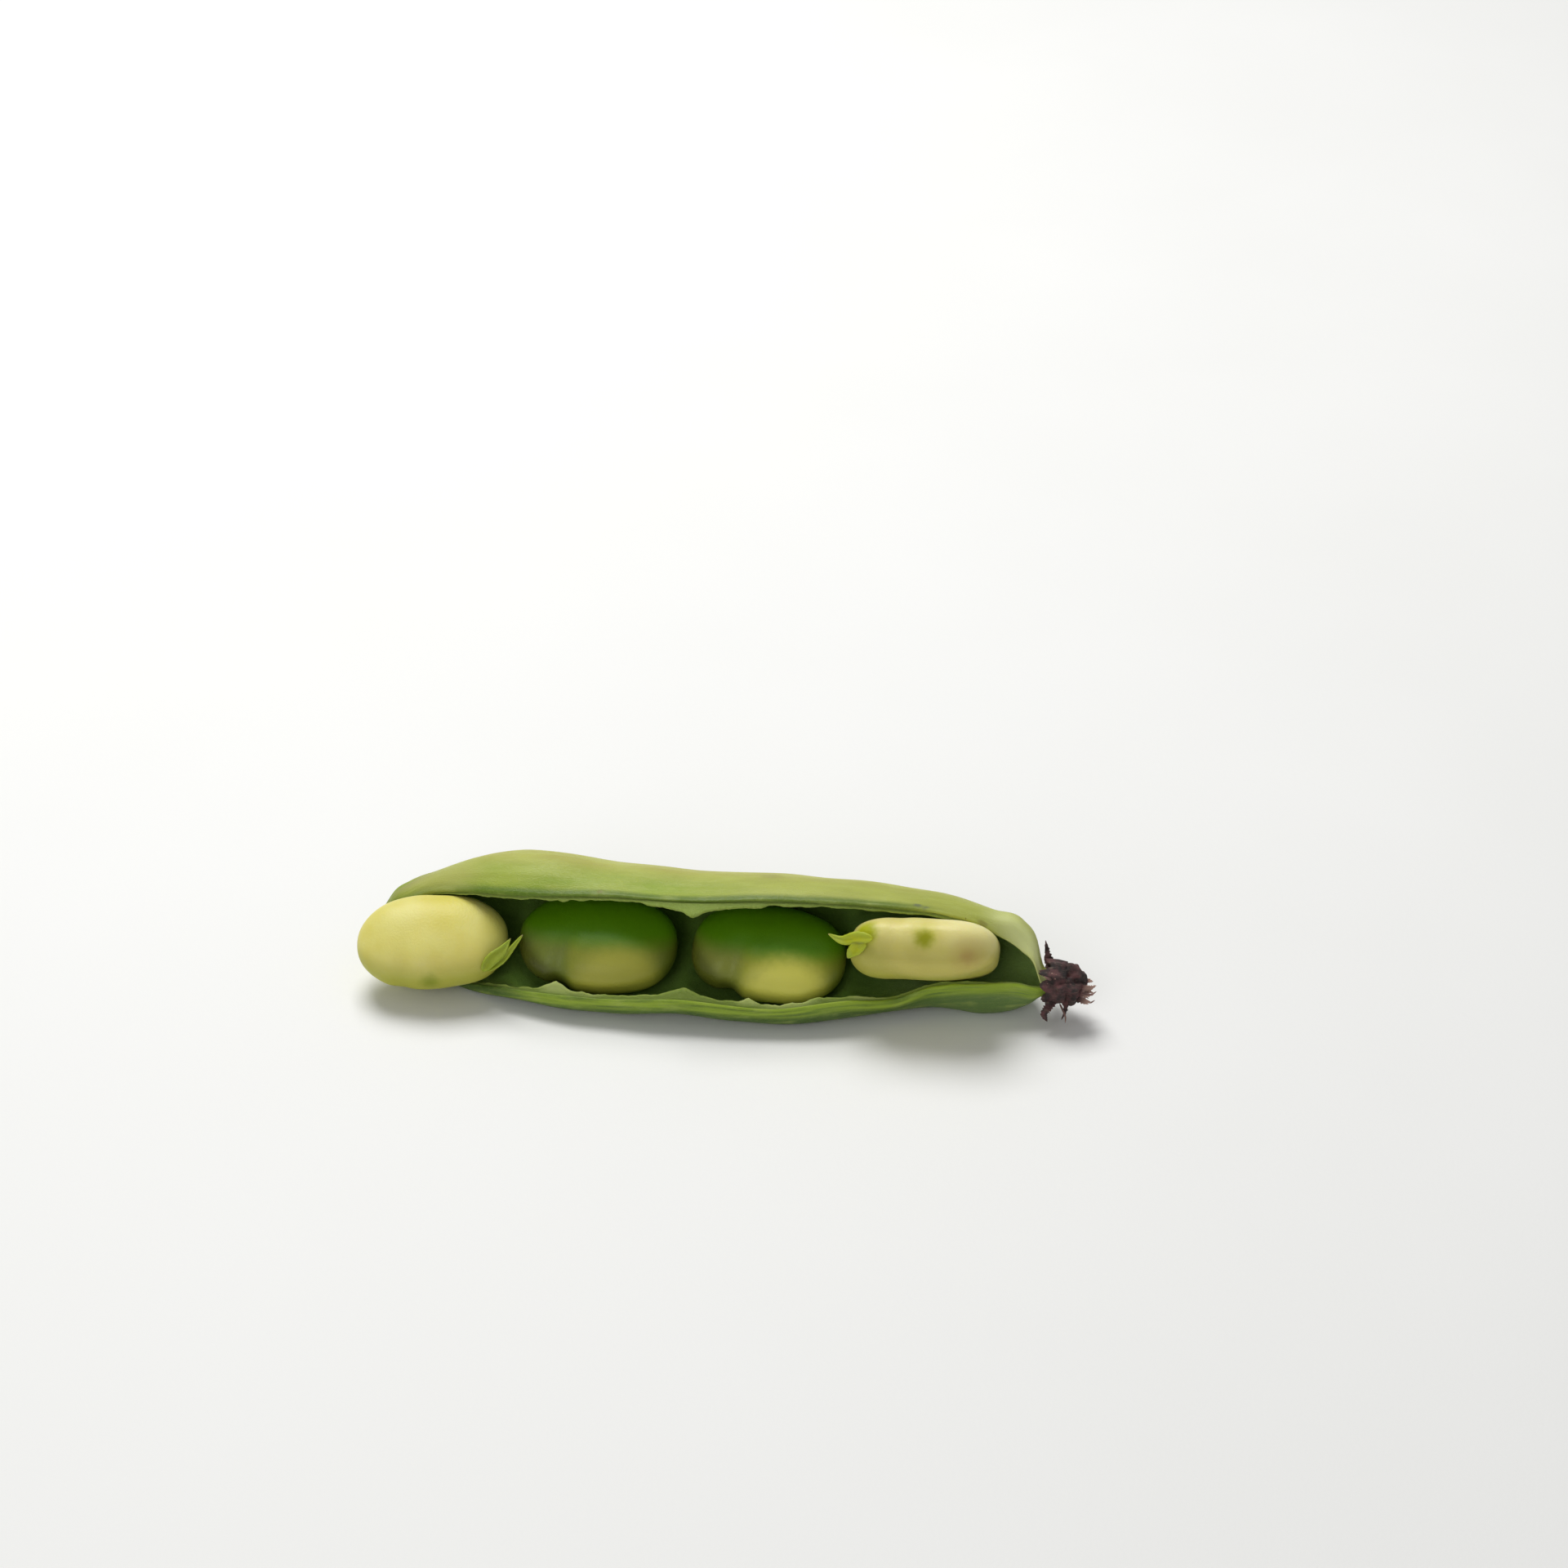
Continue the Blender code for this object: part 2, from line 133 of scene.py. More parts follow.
# The skin: long swells, ribs that run along the pod, and the raised back seam (height, width) with a furrow
# on each side (depth, width, distance from the seam). All of it fades out where the pod is less deep than
# RELIEF_DEPTH. The lining has swells of its own, from LINING_SWELL_START away from the lips.
SWELL_HEIGHT = 0.13
SWELL_LENGTH = 15.0
RIB_HEIGHT = 0.014
RIB_WIDTH = 2.4
RIB_STRETCH = 0.10
SEAM_RIDGE = (0.34, 0.65)
SEAM_FURROW = (0.13, 0.65, 1.7)
RELIEF_DEPTH = 8.0
LINING_SWELL_HEIGHT = 0.11
LINING_SWELL_LENGTH = 4.5
LINING_SWELL_START = 3.0
# How far round the skin the colour changes from one valve's to the other's at the back seam.
VALVE_CHANGE = 9.0

# The torn fleece on the lining's half of each lip: a low edge all along with rags (length, height), strips
# where it stands higher (start, end, height), and tongues (place, height, half width). It fades out at the
# pod's ends, over the distances from them that FLEECE_ENDS gives.
FLEECE_HEIGHT = 0.22
FLEECE_RAGS = ((4.2, 0.11), (1.3, 0.05))
FLEECE_ENDS = (6.0, 18.0)
STRIP_SLOPE = 2.5
TONGUE_POWER = 1.4
UPPER_STRIPS = ((-13.0, 10.5, 0.75), (10.0, 18.0, 0.30))
UPPER_TONGUES = ((-28.4, 0.4, 0.8), (-26.0, 0.6, 0.9), (-23.0, 0.35, 0.8), (-3.0, 2.5, 2.8))
LOWER_STRIPS = ((-33.0, 30.0, 0.25),)
LOWER_TONGUES = ((-26.4, 1.7, 2.0), (-3.8, 1.6, 2.6), (7.4, 1.0, 1.5), (19.3, 0.5, 1.6))
# The crease between the skin and the fleece, in parts of the way over a lip, and its depth in millimetres.
# It is full where the fleece is at least CREASE_FULL high. The fleece rises beside it within FLEECE_RISE,
# and falls to the lining between the two parts that FLEECE_FALL gives.
CREASE_AT = 0.42
CREASE_WIDTH = 0.09
CREASE_DEPTH = 0.22
CREASE_FULL = 0.3
FLEECE_RISE = 0.12
FLEECE_FALL = (1.04, 0.82)

# Each bean: its centre, its half length, half width and half thickness, its turns about X, Y and Z in
# degrees, made in the order Z, Y, X, how square its outline is, and the depth of the groove that sets off
# its root tip.
BEANS = {
    "bean_1": ((-49.3, -5.8, 8.5), (13.2, 8.8, 5.2), (24.0, 2.0, 10.0), 2.3, 0.05),
    "bean_2": ((-20.5, -1.8, 8.2), (13.9, 9.4, 5.4), (20.0, 0.0, 0.0), 2.4, 0.12),
    "bean_3": ((9.6, -1.0, 8.5), (13.6, 8.9, 5.4), (23.0, 2.0, -2.0), 2.4, 0.14),
    "bean_4": ((37.2, -1.5, 12.85), (13.0, 8.4, 5.25), (-43.0, -1.6, 0.0), 3.0, 0.05),
}
# In parts of the bean's half sizes: the groove's place, slant and width, how far back it fades out, and how
# much narrower than the rest the root tip is for each part of the groove's depth.
ROOT_TIP_AT = -0.30
GROOVE_SLANT = 0.12
GROOVE_WIDTH = 0.13
GROOVE_STARTS = 0.25
GROOVE_FADE = 1.0
ROOT_TIP_STEP = 0.12
ROOT_TIP_STEP_WIDTH = 0.15
BEAN_RINGS = 150
BEAN_SEGMENTS = 180
BEAN_SWELL_HEIGHT = 0.10
BEAN_SWELL_LENGTH = 9.0
# On bean 4: its waist (how deep, where along it, how long, how far across it reaches full depth), and its
# corners (where in its own axes, how wide, how far out). The corner under its stalk is full and the far one
# is drawn in.
WAIST = (0.45, 0.5, 3.4, 6.0)
CORNERS = (((-9.0, -1.0, -4.4), 4.5, 0.8), ((11.4, -1.5, -4.4), 5.0, -1.15))

# Seed stalks, each of two flaps: the x, y and z of each place that the flap's middle passes, and its half
# width there.
FUNICLES = {
    "funicle_1": (
        ((-38.4, -11.1, 7.4, 0.75), (-35.9, -9.8, 9.2, 0.65),
         (-34.3, -8.8, 11.2, 0.48), (-32.7, -7.6, 13.2, 0.3)),
        ((-39.3, -11.6, 7.6, 0.95), (-37.8, -10.5, 9.4, 1.1),
         (-36.1, -9.2, 10.6, 0.9), (-34.8, -7.9, 12.4, 0.25)),
    ),
    "funicle_4": (
        ((28.5, -7.4, 18.8, 0.95), (25.6, -6.8, 18.1, 1.15),
         (23.0, -5.9, 16.7, 0.75), (20.5, -5.0, 17.1, 0.3)),
        ((27.4, -7.8, 17.7, 0.9), (25.9, -7.7, 16.7, 1.15),
         (24.9, -7.4, 15.4, 0.9), (24.2, -7.2, 13.9, 0.35)),
    ),
}
FLAP = {"half_thickness": 0.45, "groove": 0.55, "curl": 0.1, "rags": 0.03, "sides": 40, "rings": 60}

# Every strap turns its broad side to the viewer. Its direction is taken over a short step, its ends are
# rounder with a lower power, and its rags have a length and a spacing from stop to stop.
FACING_VIEWER = (0.0, -0.8, 0.6)
STEP_ALONG_STRAP = 0.01
STRAP_END_POWER = 8
STRAP_LEAST_END = 0.02
STRAP_RAG_LENGTH = 0.5
STRAP_RAG_SPACING = 2.2

# The withered calyx: a crumpled knob with a ragged collar round the neck, its lobes, its frayed strands and
# its fibres.
KNOB_MIDDLE = (61.2, 0.0, 7.2)
KNOB_HALF_SIZES = (3.9, 3.5, 3.5)
KNOB_RINGS = 90
KNOB_SEGMENTS = 140
# Folds that run along the knob: how many round it, how deep, and how far they twist. Its crumples are each
# a length and a depth. Both are weaker along its axis.
KNOB_FOLDS = ((5, 0.07, 0.0), (3, 0.05, 4.0), (9, 0.05, 2.0), (14, 0.03, -3.0))
KNOB_CRUMPLE = ((1.0, 0.09), (0.5, 0.055), (0.22, 0.02))
KNOB_FOLD_ALONG = 0.4
# The collar: its places along the pod with its radius at each, its thickness, how much further along its
# inside lies, its rags (length, depth), its waves (how many round it, how deep), its crumple (length,
# depth) and how far its free edge flares.
NECK_CENTRE = (0.0, 7.1)
COLLAR = ((57.9, 3.62), (58.6, 3.78), (60.0, 3.86), (61.6, 3.6))
COLLAR_THICKNESS = 0.5
COLLAR_EDGE = 0.15
COLLAR_RAGS = ((2.2, 0.55), (0.6, 0.18))
COLLAR_WAVES = (9, 0.025)
COLLAR_CRUMPLE = (1.2, 0.02)
COLLAR_FLARE = 0.12
# The rags and the crumple are measured on a circle of this radius.
RAGS_RADIUS = 3.0
COLLAR_SIDES = 160
# Lobes, strands and fibres: the x, y and z of each place that the middle passes, and the half width there.
LOBES = (
    ((58.8, 1.6, 8.8, 1.1), (58.0, 3.2, 10.6, 0.55), (57.4, 4.2, 12.7, 0.12)),
    ((60.4, -1.8, 5.6, 1.3), (58.9, -3.9, 4.5, 0.75), (58.3, -4.9, 3.6, 0.55), (58.9, -5.2, 2.2, 0.2)),
    ((60.6, 2.0, 5.8, 1.5), (59.4, 4.1, 4.7, 0.9), (59.1, 5.1, 3.2, 0.3)),
    ((61.4, -1.8, 5.6, 0.7), (61.9, -3.5, 3.9, 0.35), (61.3, -4.2, 2.1, 0.12)),
)
STRANDS = (
    ((63.2, -1.4, 7.4, 0.9), (65.2, -1.6, 7.4, 0.55), (66.9, -1.2, 7.9, 0.15)),
    ((63.3, -1.7, 6.6, 0.8), (65.0, -2.2, 6.4, 0.45), (66.5, -2.2, 6.6, 0.12)),
    ((63.2, -1.8, 5.8, 0.8), (64.9, -2.4, 5.4, 0.45), (66.2, -2.5, 5.1, 0.12)),
    ((63.0, -1.0, 5.0, 0.8), (64.6, -1.4, 4.4, 0.45), (65.7, -1.5, 3.9, 0.12)),
    ((63.2, 0.4, 5.8, 0.9), (65.0, 0.6, 5.2, 0.5), (66.4, 0.5, 4.9, 0.15)),
    ((63.4, 0.6, 7.2, 0.9), (65.0, 0.9, 7.2, 0.5), (66.2, 1.0, 7.0, 0.15)),
)
FIBRES = (
    ((60.8, -3.4, 5.0, 0.22), (61.9, -4.6, 3.4, 0.16), (62.0, -4.4, 1.6, 0.09)),
    ((64.4, -2.2, 6.8, 0.25), (66.0, -2.6, 6.9, 0.18), (67.0, -2.2, 7.4, 0.09)),
    ((64.6, -1.4, 5.2, 0.22), (65.9, -1.9, 4.6, 0.16), (66.8, -1.6, 5.0, 0.09)),
    ((63.8, 1.0, 4.6, 0.22), (64.9, 1.4, 3.4, 0.16), (65.6, 1.2, 3.0, 0.09)),
    ((59.2, -2.6, 9.4, 0.28), (58.5, -3.6, 10.4, 0.2), (57.9, -3.9, 11.0, 0.09)),
)
LOBE = {"half_thickness": 0.32, "curl": 0.6, "rags": 0.22, "sides": 28, "rings": 46}
LOBE_CRUMPLE = (1.6, 0.12)
FIBRE = {"sides": 10, "rings": 30}
# Where along a strand it starts to fray and where it is all frayed, and how frayed a fibre's end is.
FRAYED = (0.1875, 0.8125)
FIBRE_FRAY = 0.6


# Shapes


def through(at, places, values):
    """A smooth curve through values at places, read at `at`."""
    slopes = np.gradient(values, places, axis=0)
    i = min(max(int(np.searchsorted(places, at)) - 1, 0), len(places) - 2)
    span = places[i + 1] - places[i]
    t = (at - places[i]) / span
    return (
        (2 * t**3 - 3 * t**2 + 1) * values[i]
        + (t**3 - 2 * t**2 + t) * span * slopes[i]
        + (3 * t**2 - 2 * t**3) * values[i + 1]
        + (t**3 - t**2) * span * slopes[i + 1]
    )


def bezier(start, start_handle, end_handle, end, count):
    t = np.linspace(0, 1, count)[:, None]
    return (
        (1 - t) ** 3 * start
        + 3 * (1 - t) ** 2 * t * start_handle
        + 3 * (1 - t) * t**2 * end_handle
        + t**3 * end
    )


def ease(t):
    """0 to 1 as t goes from 0 to 1, with a smooth start and end."""
    t = np.clip(t, 0, 1)
    return t * t * (3 - 2 * t)


def between(value, start, end):
    """0 to 1 as the value goes from start to end, with a smooth start and end."""
    return ease((value - start) / (end - start))


def at_place(x, points):
    """Points with the same x put before each."""
    return np.column_stack([np.full(len(points), x), points])


def ripple(points, length, seed):
    """A smooth uneven value at each point, mostly within -1 to 1: a sum of waves of about one length."""
    points = np.atleast_2d(points)
    chance = np.random.default_rng(seed)
    directions = chance.normal(size=(RIPPLE_WAVES, points.shape[1]))
    directions /= np.linalg.norm(directions, axis=1)[:, None]
    lengths = length * chance.uniform(*RIPPLE_LENGTHS, RIPPLE_WAVES)
    phases = chance.uniform(0, 2 * math.pi, RIPPLE_WAVES)
    angles = 2 * math.pi * (points @ directions.T) / lengths + phases
    return np.sin(angles).sum(1) / math.sqrt(RIPPLE_WAVES)


def valve_outline(seam, far, edge, fullness, edge_handle):
    """Points from the back seam, round the far side of the valve, to its free edge."""
    back = bezier(
        seam,
        seam + (0, ROUND * (far[1] - seam[1])),
        far + (ROUND * (seam[0] - far[0]), 0),
        far,
        POINTS_IN_QUARTER,
    )
    front_handle = far + (fullness * (edge[0] - far[0]), 0)
    front = bezier(far, front_handle, edge + edge_handle, edge, POINTS_IN_QUARTER)
    return np.vstack([back, front[1:]])


def wall_thickness(x, from_edge, depth):
    """The wall at each point of a section: thin at the lips, thick between the beans."""
    wall = LIP_THICKNESS + (WALL - LIP_THICKNESS) * ease(from_edge / LIP_REACH)
    chamber_wall = sum(math.exp(-(((x - at) / CHAMBER_WALL_SPREAD) ** 2)) for at in CHAMBER_WALLS)
    wall = wall + LINING_BETWEEN_BEANS * chamber_wall * ease(from_edge / LINING_REACH)
    return np.minimum(wall, MOST_WALL_OF_DEPTH * depth)


def skin_relief(x, run, seam_run):
    """How far the skin stands out of the model's smooth form at each place round a section."""
    here = at_place(x, run * TYPICAL_GIRTH / run[-1])
    swells = SWELL_HEIGHT * ripple(here, SWELL_LENGTH, seed=1)
    ribs = RIB_HEIGHT * ripple(here * (RIB_STRETCH, 1.0), RIB_WIDTH, seed=2)
    ridge_height, ridge_width = SEAM_RIDGE
    furrow_depth, furrow_width, furrow_at = SEAM_FURROW
    from_seam = np.abs(run - seam_run)
    ridge = ridge_height * np.exp(-((from_seam / ridge_width) ** 2))
    furrow = furrow_depth * np.exp(-(((from_seam - furrow_at) / furrow_width) ** 2))
    return swells + ribs + ridge - furrow


def fleece_height(x, strips, tongues, seed):
    """How far the torn fleece stands out of a lip at x."""
    height = FLEECE_HEIGHT
    for number, (length, size) in enumerate(FLEECE_RAGS):
        height += size * float(ripple([[x]], length, seed + number)[0])
    for start, end, size in strips:
        height += size * ease((x - start) / STRIP_SLOPE) * ease((end - x) / STRIP_SLOPE)
    for at, size, half_width in tongues:
        height += size * math.exp(-((abs(x - at) / half_width) ** TONGUE_POWER))
    to_end = min(x - SECTION_PLACES[0], SECTION_PLACES[-1] - x)
    return max(height, 0) * between(to_end, *FLEECE_ENDS)


def lip(outer, inner, outward, gap, fleece):
    """Points over a valve's edge from skin to lining, with a crease and the fleece beyond the crease.

    The second result is how far over the lip each point lies, from 0 to 1.
    """
    part = np.linspace(0, 1, LIP_POINTS + 2)[1:-1]
    angles = math.pi * part[:, None]
    middle = (outer + inner) / 2
    bulge = min(np.linalg.norm(outer - inner) / 2, MOST_BULGE_OF_GAP * gap)
    crease = CREASE_DEPTH * np.exp(-(((part - CREASE_AT) / CREASE_WIDTH) ** 2)) * ease(fleece / CREASE_FULL)
    stand = fleece * ease((part - CREASE_AT) / FLEECE_RISE) * between(part, *FLEECE_FALL)
    beyond = bulge * np.sin(angles) + (stand - crease)[:, None]
    return middle + (outer - middle) * np.cos(angles) + outward * beyond, part


def pod_section(x):
    """The closed outline of the open pod at x as (y, z) points, with the skin's fields at each point."""
    seam, bottom, low_edge, top, high_edge = through(x, SECTION_PLACES, SECTION_POINTS)
    low_handle = (seam[0] - low_edge[0], low_edge[1] - bottom[1]) * np.array(LOWER_EDGE_PULL)
    high_handle = (top - high_edge) * UPPER_EDGE_PULL
    lower = valve_outline(seam, bottom, low_edge, LOWER_FRONT_FULLNESS, low_handle)
    upper = valve_outline(seam, top, high_edge, ROUND, high_handle)
    outer = np.vstack([lower[::-1], upper[1:]])

    along = np.gradient(outer, axis=0)
    along /= np.linalg.norm(along, axis=1)[:, None]
    inward = np.column_stack([-along[:, 1], along[:, 0]])
    run = np.concatenate([[0], np.cumsum(np.linalg.norm(np.diff(outer, axis=0), axis=1))])
    from_lip = np.minimum(run, run[-1] - run)
    depth = min(seam[0] - low_edge[0], top[1] - bottom[1])
    inner = outer + inward * wall_thickness(x, from_lip / (run[-1] / 2), depth)[:, None]

    seam_run = run[len(lower) - 1]
    relief = ease(depth / RELIEF_DEPTH)
    outer = outer - inward * relief * skin_relief(x, run, seam_run)[:, None]
    swell = ripple(at_place(x, run), LINING_SWELL_LENGTH, seed=3) * ease(from_lip / LINING_SWELL_START)
    inner = inner + inward * relief * LINING_SWELL_HEIGHT * swell[:, None]
    outer[:, 1] = np.maximum(outer[:, 1], 0)

    gap = np.linalg.norm(high_edge - low_edge)
    high_fleece = fleece_height(x, UPPER_STRIPS, UPPER_TONGUES, seed=11)
    low_fleece = fleece_height(x, LOWER_STRIPS, LOWER_TONGUES, seed=21)
    high_lip, part = lip(outer[-1], inner[-1], along[-1], gap, high_fleece)
    low_lip, _ = lip(outer[0], inner[0], -along[0], gap, low_fleece)
    over_lip = ease((part - CREASE_AT) / FLEECE_RISE + 0.5)

    none, all_of_it = np.zeros(len(outer)), np.ones(len(outer))
    upper_half = ease((run - seam_run) / VALVE_CHANGE + 0.5)
    around = run * TYPICAL_GIRTH / run[-1]
    on_lip = np.zeros(LIP_POINTS)
    fields = {
        "lining": np.concatenate([none, over_lip, all_of_it, over_lip[::-1]]),
        "upper": np.concatenate([upper_half, on_lip + 1, upper_half[::-1], on_lip]),
        "from_lip": np.concatenate([from_lip, on_lip, from_lip[::-1], on_lip]),
        "round": np.concatenate([around, TYPICAL_GIRTH + part, around[::-1], -part[::-1]]),
    }
    return np.vstack([outer, high_lip, inner[::-1], low_lip[::-1]]), fields


def lofted(rings):
    """Corners and faces of a closed body through rings of points, with a flat face at each end."""
    count = len(rings[0])
    faces = []
    for r in range(len(rings) - 1):
        for k in range(count):
            after = (k + 1) % count
            faces.append((r * count + k, r * count + after, (r + 1) * count + after, (r + 1) * count + k))
    faces.append(tuple(range(count)))
    faces.append(tuple(range((len(rings) - 1) * count, len(rings) * count)))
    return np.vstack(rings), faces


def ball(rings, segments):
    """Unit directions over a ball whose poles point along X, and the faces between them."""
    slopes = np.linspace(0, math.pi, rings + 1)[1:-1, None]
    turns = np.linspace(0, 2 * math.pi, segments, endpoint=False)[None, :]
    along = np.broadcast_to(np.cos(slopes), (rings - 1, segments))
    around = np.stack([along, np.sin(slopes) * np.cos(turns), np.sin(slopes) * np.sin(turns)], -1)
    directions = np.vstack([around.reshape(-1, 3), [[1, 0, 0], [-1, 0, 0]]])
    faces = []
    for r in range(rings - 2):
        for k in range(segments):
            after = (k + 1) % segments
            here, beyond = r * segments, (r + 1) * segments
            faces.append((here + k, here + after, beyond + after, beyond + k))
    first, last = len(directions) - 2, len(directions) - 1
    row = (rings - 2) * segments
    for k in range(segments):
        after = (k + 1) % segments
        faces.append((first, after, k))
        faces.append((last, row + k, row + after))
    return directions, faces


def bean_skin(name, directions):
    """Points of a bean's skin in its own axes: a flat oval with a groove beside its root tip."""
    _, half_sizes, _, squareness, groove = BEANS[name]
    size = (np.abs(directions) ** squareness).sum(1) ** (-1 / squareness)
    along, across, up = (directions * size[:, None]).T
    from_groove = along - (ROOT_TIP_AT + GROOVE_SLANT * across)
    notch = np.exp(-((from_groove / GROOVE_WIDTH) ** 2))
    step = ROOT_TIP_STEP * ease(-from_groove / ROOT_TIP_STEP_WIDTH)
    pinch = 1 - groove * (notch + step) * ease((GROOVE_STARTS - across) / GROOVE_FADE)
    skin = np.column_stack([along, across * pinch, up * pinch]) * half_sizes
    swell = BEAN_SWELL_HEIGHT * ripple(skin, BEAN_SWELL_LENGTH, seed=37 + int(name[-1]))
    return skin + directions * swell[:, None]


def strap(stops, half_thickness, sides, rings, seed, groove=0.0, curl=0.0, rags=0.0):
    """A thin strap with round ends through its stops, with its broad side to the viewer.

    A groove runs along its middle, its edges curl up and its outline is ragged, as far as each is given.
    The last two results are fields: 0 to 1 along the strap, and -1 to 1 across it.
    """
    places, widths = np.array(stops)[:, :3], np.array(stops)[:, 3]
    at = np.arange(len(stops), dtype=float)
    angles = 2 * math.pi * np.arange(sides)[:, None] / sides
    side = np.cos(angles)
    loops = []
    for t in np.linspace(0, at[-1], rings):
        here = through(t, at, places)
        before, after = max(t - STEP_ALONG_STRAP, 0), min(t + STEP_ALONG_STRAP, at[-1])
        ahead = through(after, at, places) - through(before, at, places)
        ahead /= np.linalg.norm(ahead)
        across = np.cross(ahead, FACING_VIEWER)
        across /= np.linalg.norm(across)
        up = np.cross(across, ahead)
        to_end = max(t, at[-1] - t) / at[-1]
        taper = math.sqrt(max(1 - to_end**STRAP_END_POWER, STRAP_LEAST_END))
        width = through(t, at, widths) * taper
        on_edge = at_place(STRAP_RAG_SPACING * t, np.sign(side))
        tear = 1 + rags * ripple(on_edge, STRAP_RAG_LENGTH, seed)[:, None]
        thickness = half_thickness * taper * np.sin(angles) * (1 - groove * (1 - side**2) ** 3)
        lift = curl * side**2 * width
        loops.append(here + across * width * side * tear + up * (thickness + lift))
    corners, faces = lofted(loops)
    length_field = np.repeat(np.linspace(0, 1, rings), sides)
    side_field = np.tile(side[:, 0], rings)
    return corners, faces, length_field, side_field


def joined(bodies):
    """One mesh from several (corners, faces, field, ...) bodies, whose fields are joined too."""
    faces = []
    first = 0
    for corners, body_faces, *_ in bodies:
        faces += [tuple(first + index for index in face) for face in body_faces]
        first += len(corners)
    fields = [np.concatenate(field) for field in list(zip(*bodies))[2:]]
    return np.vstack([body[0] for body in bodies]), faces, *fields


def add_object(name, data):
    made = bpy.data.objects.new(name, data)
    bpy.context.scene.collection.objects.link(made)
    return made


def add_piece(name, node, corners, faces, material, fields):
    """A finished piece in place of a node of the model, from corners in millimetres in the pod's axes."""
    mesh = bpy.data.meshes.new(name)
    placed = (np.asarray(corners) - (*FOOTPRINT_MIDDLE, 0)) * MM
    mesh.from_pydata(placed.tolist(), [], faces)
    made = bmesh.new()
    made.from_mesh(mesh)
    bmesh.ops.recalc_face_normals(made, faces=made.faces)
    made.to_mesh(mesh)
    made.free()
    for field, values in fields.items():
        values = np.asarray(values, np.float32)
        is_vector = values.ndim == 2
        layer = mesh.attributes.new(field, "FLOAT_VECTOR" if is_vector else "FLOAT", "POINT")
        layer.data.foreach_set("vector" if is_vector else "value", values.ravel())
    mesh.shade_smooth()
    mesh.materials.append(material)
    piece = add_object(name, mesh)
    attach(piece, "root")
    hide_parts(node)


def make_pod(material):
    """Both valves in one skin, from the rounded beak to the neck inside the calyx."""
    start, end = SECTION_PLACES[0], SECTION_PLACES[-1]
    first, first_fields = pod_section(start)
    middle = first.mean(0)
    sections = []
    for ahead, size in BEAK_RINGS:
        sections.append((start - ahead, middle + (first - middle) * size, first_fields))
    for x in np.linspace(start, end, STATIONS):
        sections.append((x, *pod_section(x)))
    corners, faces = lofted([at_place(x, outline) for x, outline, _ in sections])
    fields = {name: np.concatenate([here[name] for _, _, here in sections]) for name in first_fields}
    depth = PATTERN_DEPTH * fields["lining"]
    fields["place"] = np.column_stack([corners[:, 0], fields.pop("round"), depth])
    add_piece("open_pod", "pod", corners, faces, material, fields)


def make_bean(name, material):
    centre, _, turns, _, _ = BEANS[name]
    directions, faces = ball(BEAN_RINGS, BEAN_SEGMENTS)
    skin = bean_skin(name, directions)
    if name == "bean_4":
        depth, at, length, full_at = WAIST
        waist = depth * np.exp(-(((skin[:, 0] - at) / length) ** 2)) * ease(-skin[:, 1] / full_at)
        skin[:, 1] += waist
        for corner, reach, stand in CORNERS:
            away = np.linalg.norm(skin - corner, axis=1) / reach
            skin += directions * (stand * np.exp(-(away**2)))[:, None]
    turn = np.array(Euler([math.radians(angle) for angle in turns], "ZYX").to_matrix())
    add_piece(f"{name}_seed", name, skin @ turn.T + centre, faces, material, {"place": skin})


def make_funicle(name, material):
    flaps = [strap(stops, seed=40 + number, **FLAP) for number, stops in enumerate(FUNICLES[name])]
    corners, faces, length, side = joined(flaps)
    add_piece(f"{name}_stalk", name, corners, faces, material, {"length": length, "side": side})


def knob():
    """The crumpled knob of the calyx."""
    directions, faces = ball(KNOB_RINGS, KNOB_SEGMENTS)
    angle = np.arctan2(directions[:, 2], directions[:, 1])
    fold = np.ones(len(directions))
    for count, depth, twist in KNOB_FOLDS:
        fold += depth * np.sin(count * angle + twist * directions[:, 0])
    for number, (length, depth) in enumerate(KNOB_CRUMPLE):
        fold += depth * ripple(directions, length, seed=50 + number)
    stretch = np.column_stack([1 + KNOB_FOLD_ALONG * (fold - 1), fold, fold])
    return directions * stretch * KNOB_HALF_SIZES + KNOB_MIDDLE, faces


def collar():
    """The ragged cuff of the calyx round the neck, with its outside, its edge and its inside."""
    turns = 2 * math.pi * np.arange(COLLAR_SIDES) / COLLAR_SIDES
    around = np.column_stack([np.cos(turns), np.sin(turns)])
    on_neck = around * RAGS_RADIUS
    tear = np.zeros(COLLAR_SIDES)
    for number, (length, depth) in enumerate(COLLAR_RAGS):
        tear += depth * ripple(on_neck, length, seed=60 + number)
    count, wave_depth = COLLAR_WAVES
    length, crumple_depth = COLLAR_CRUMPLE
    wave = 1 + wave_depth * np.sin(count * turns) + crumple_depth * ripple(on_neck, length, seed=62)
    outside = [(x, radius) for x, radius in reversed(COLLAR)]
    inside = [(x + COLLAR_EDGE, radius - COLLAR_THICKNESS) for x, radius in COLLAR]
    rings = []
    for x, radius in outside + inside:
        loose = between(x, COLLAR[2][0], COLLAR[0][0])
        circle = around * (radius * wave + COLLAR_FLARE * loose)[:, None] + NECK_CENTRE
        rings.append(np.column_stack([x + tear * loose, circle]))
    return lofted(rings)


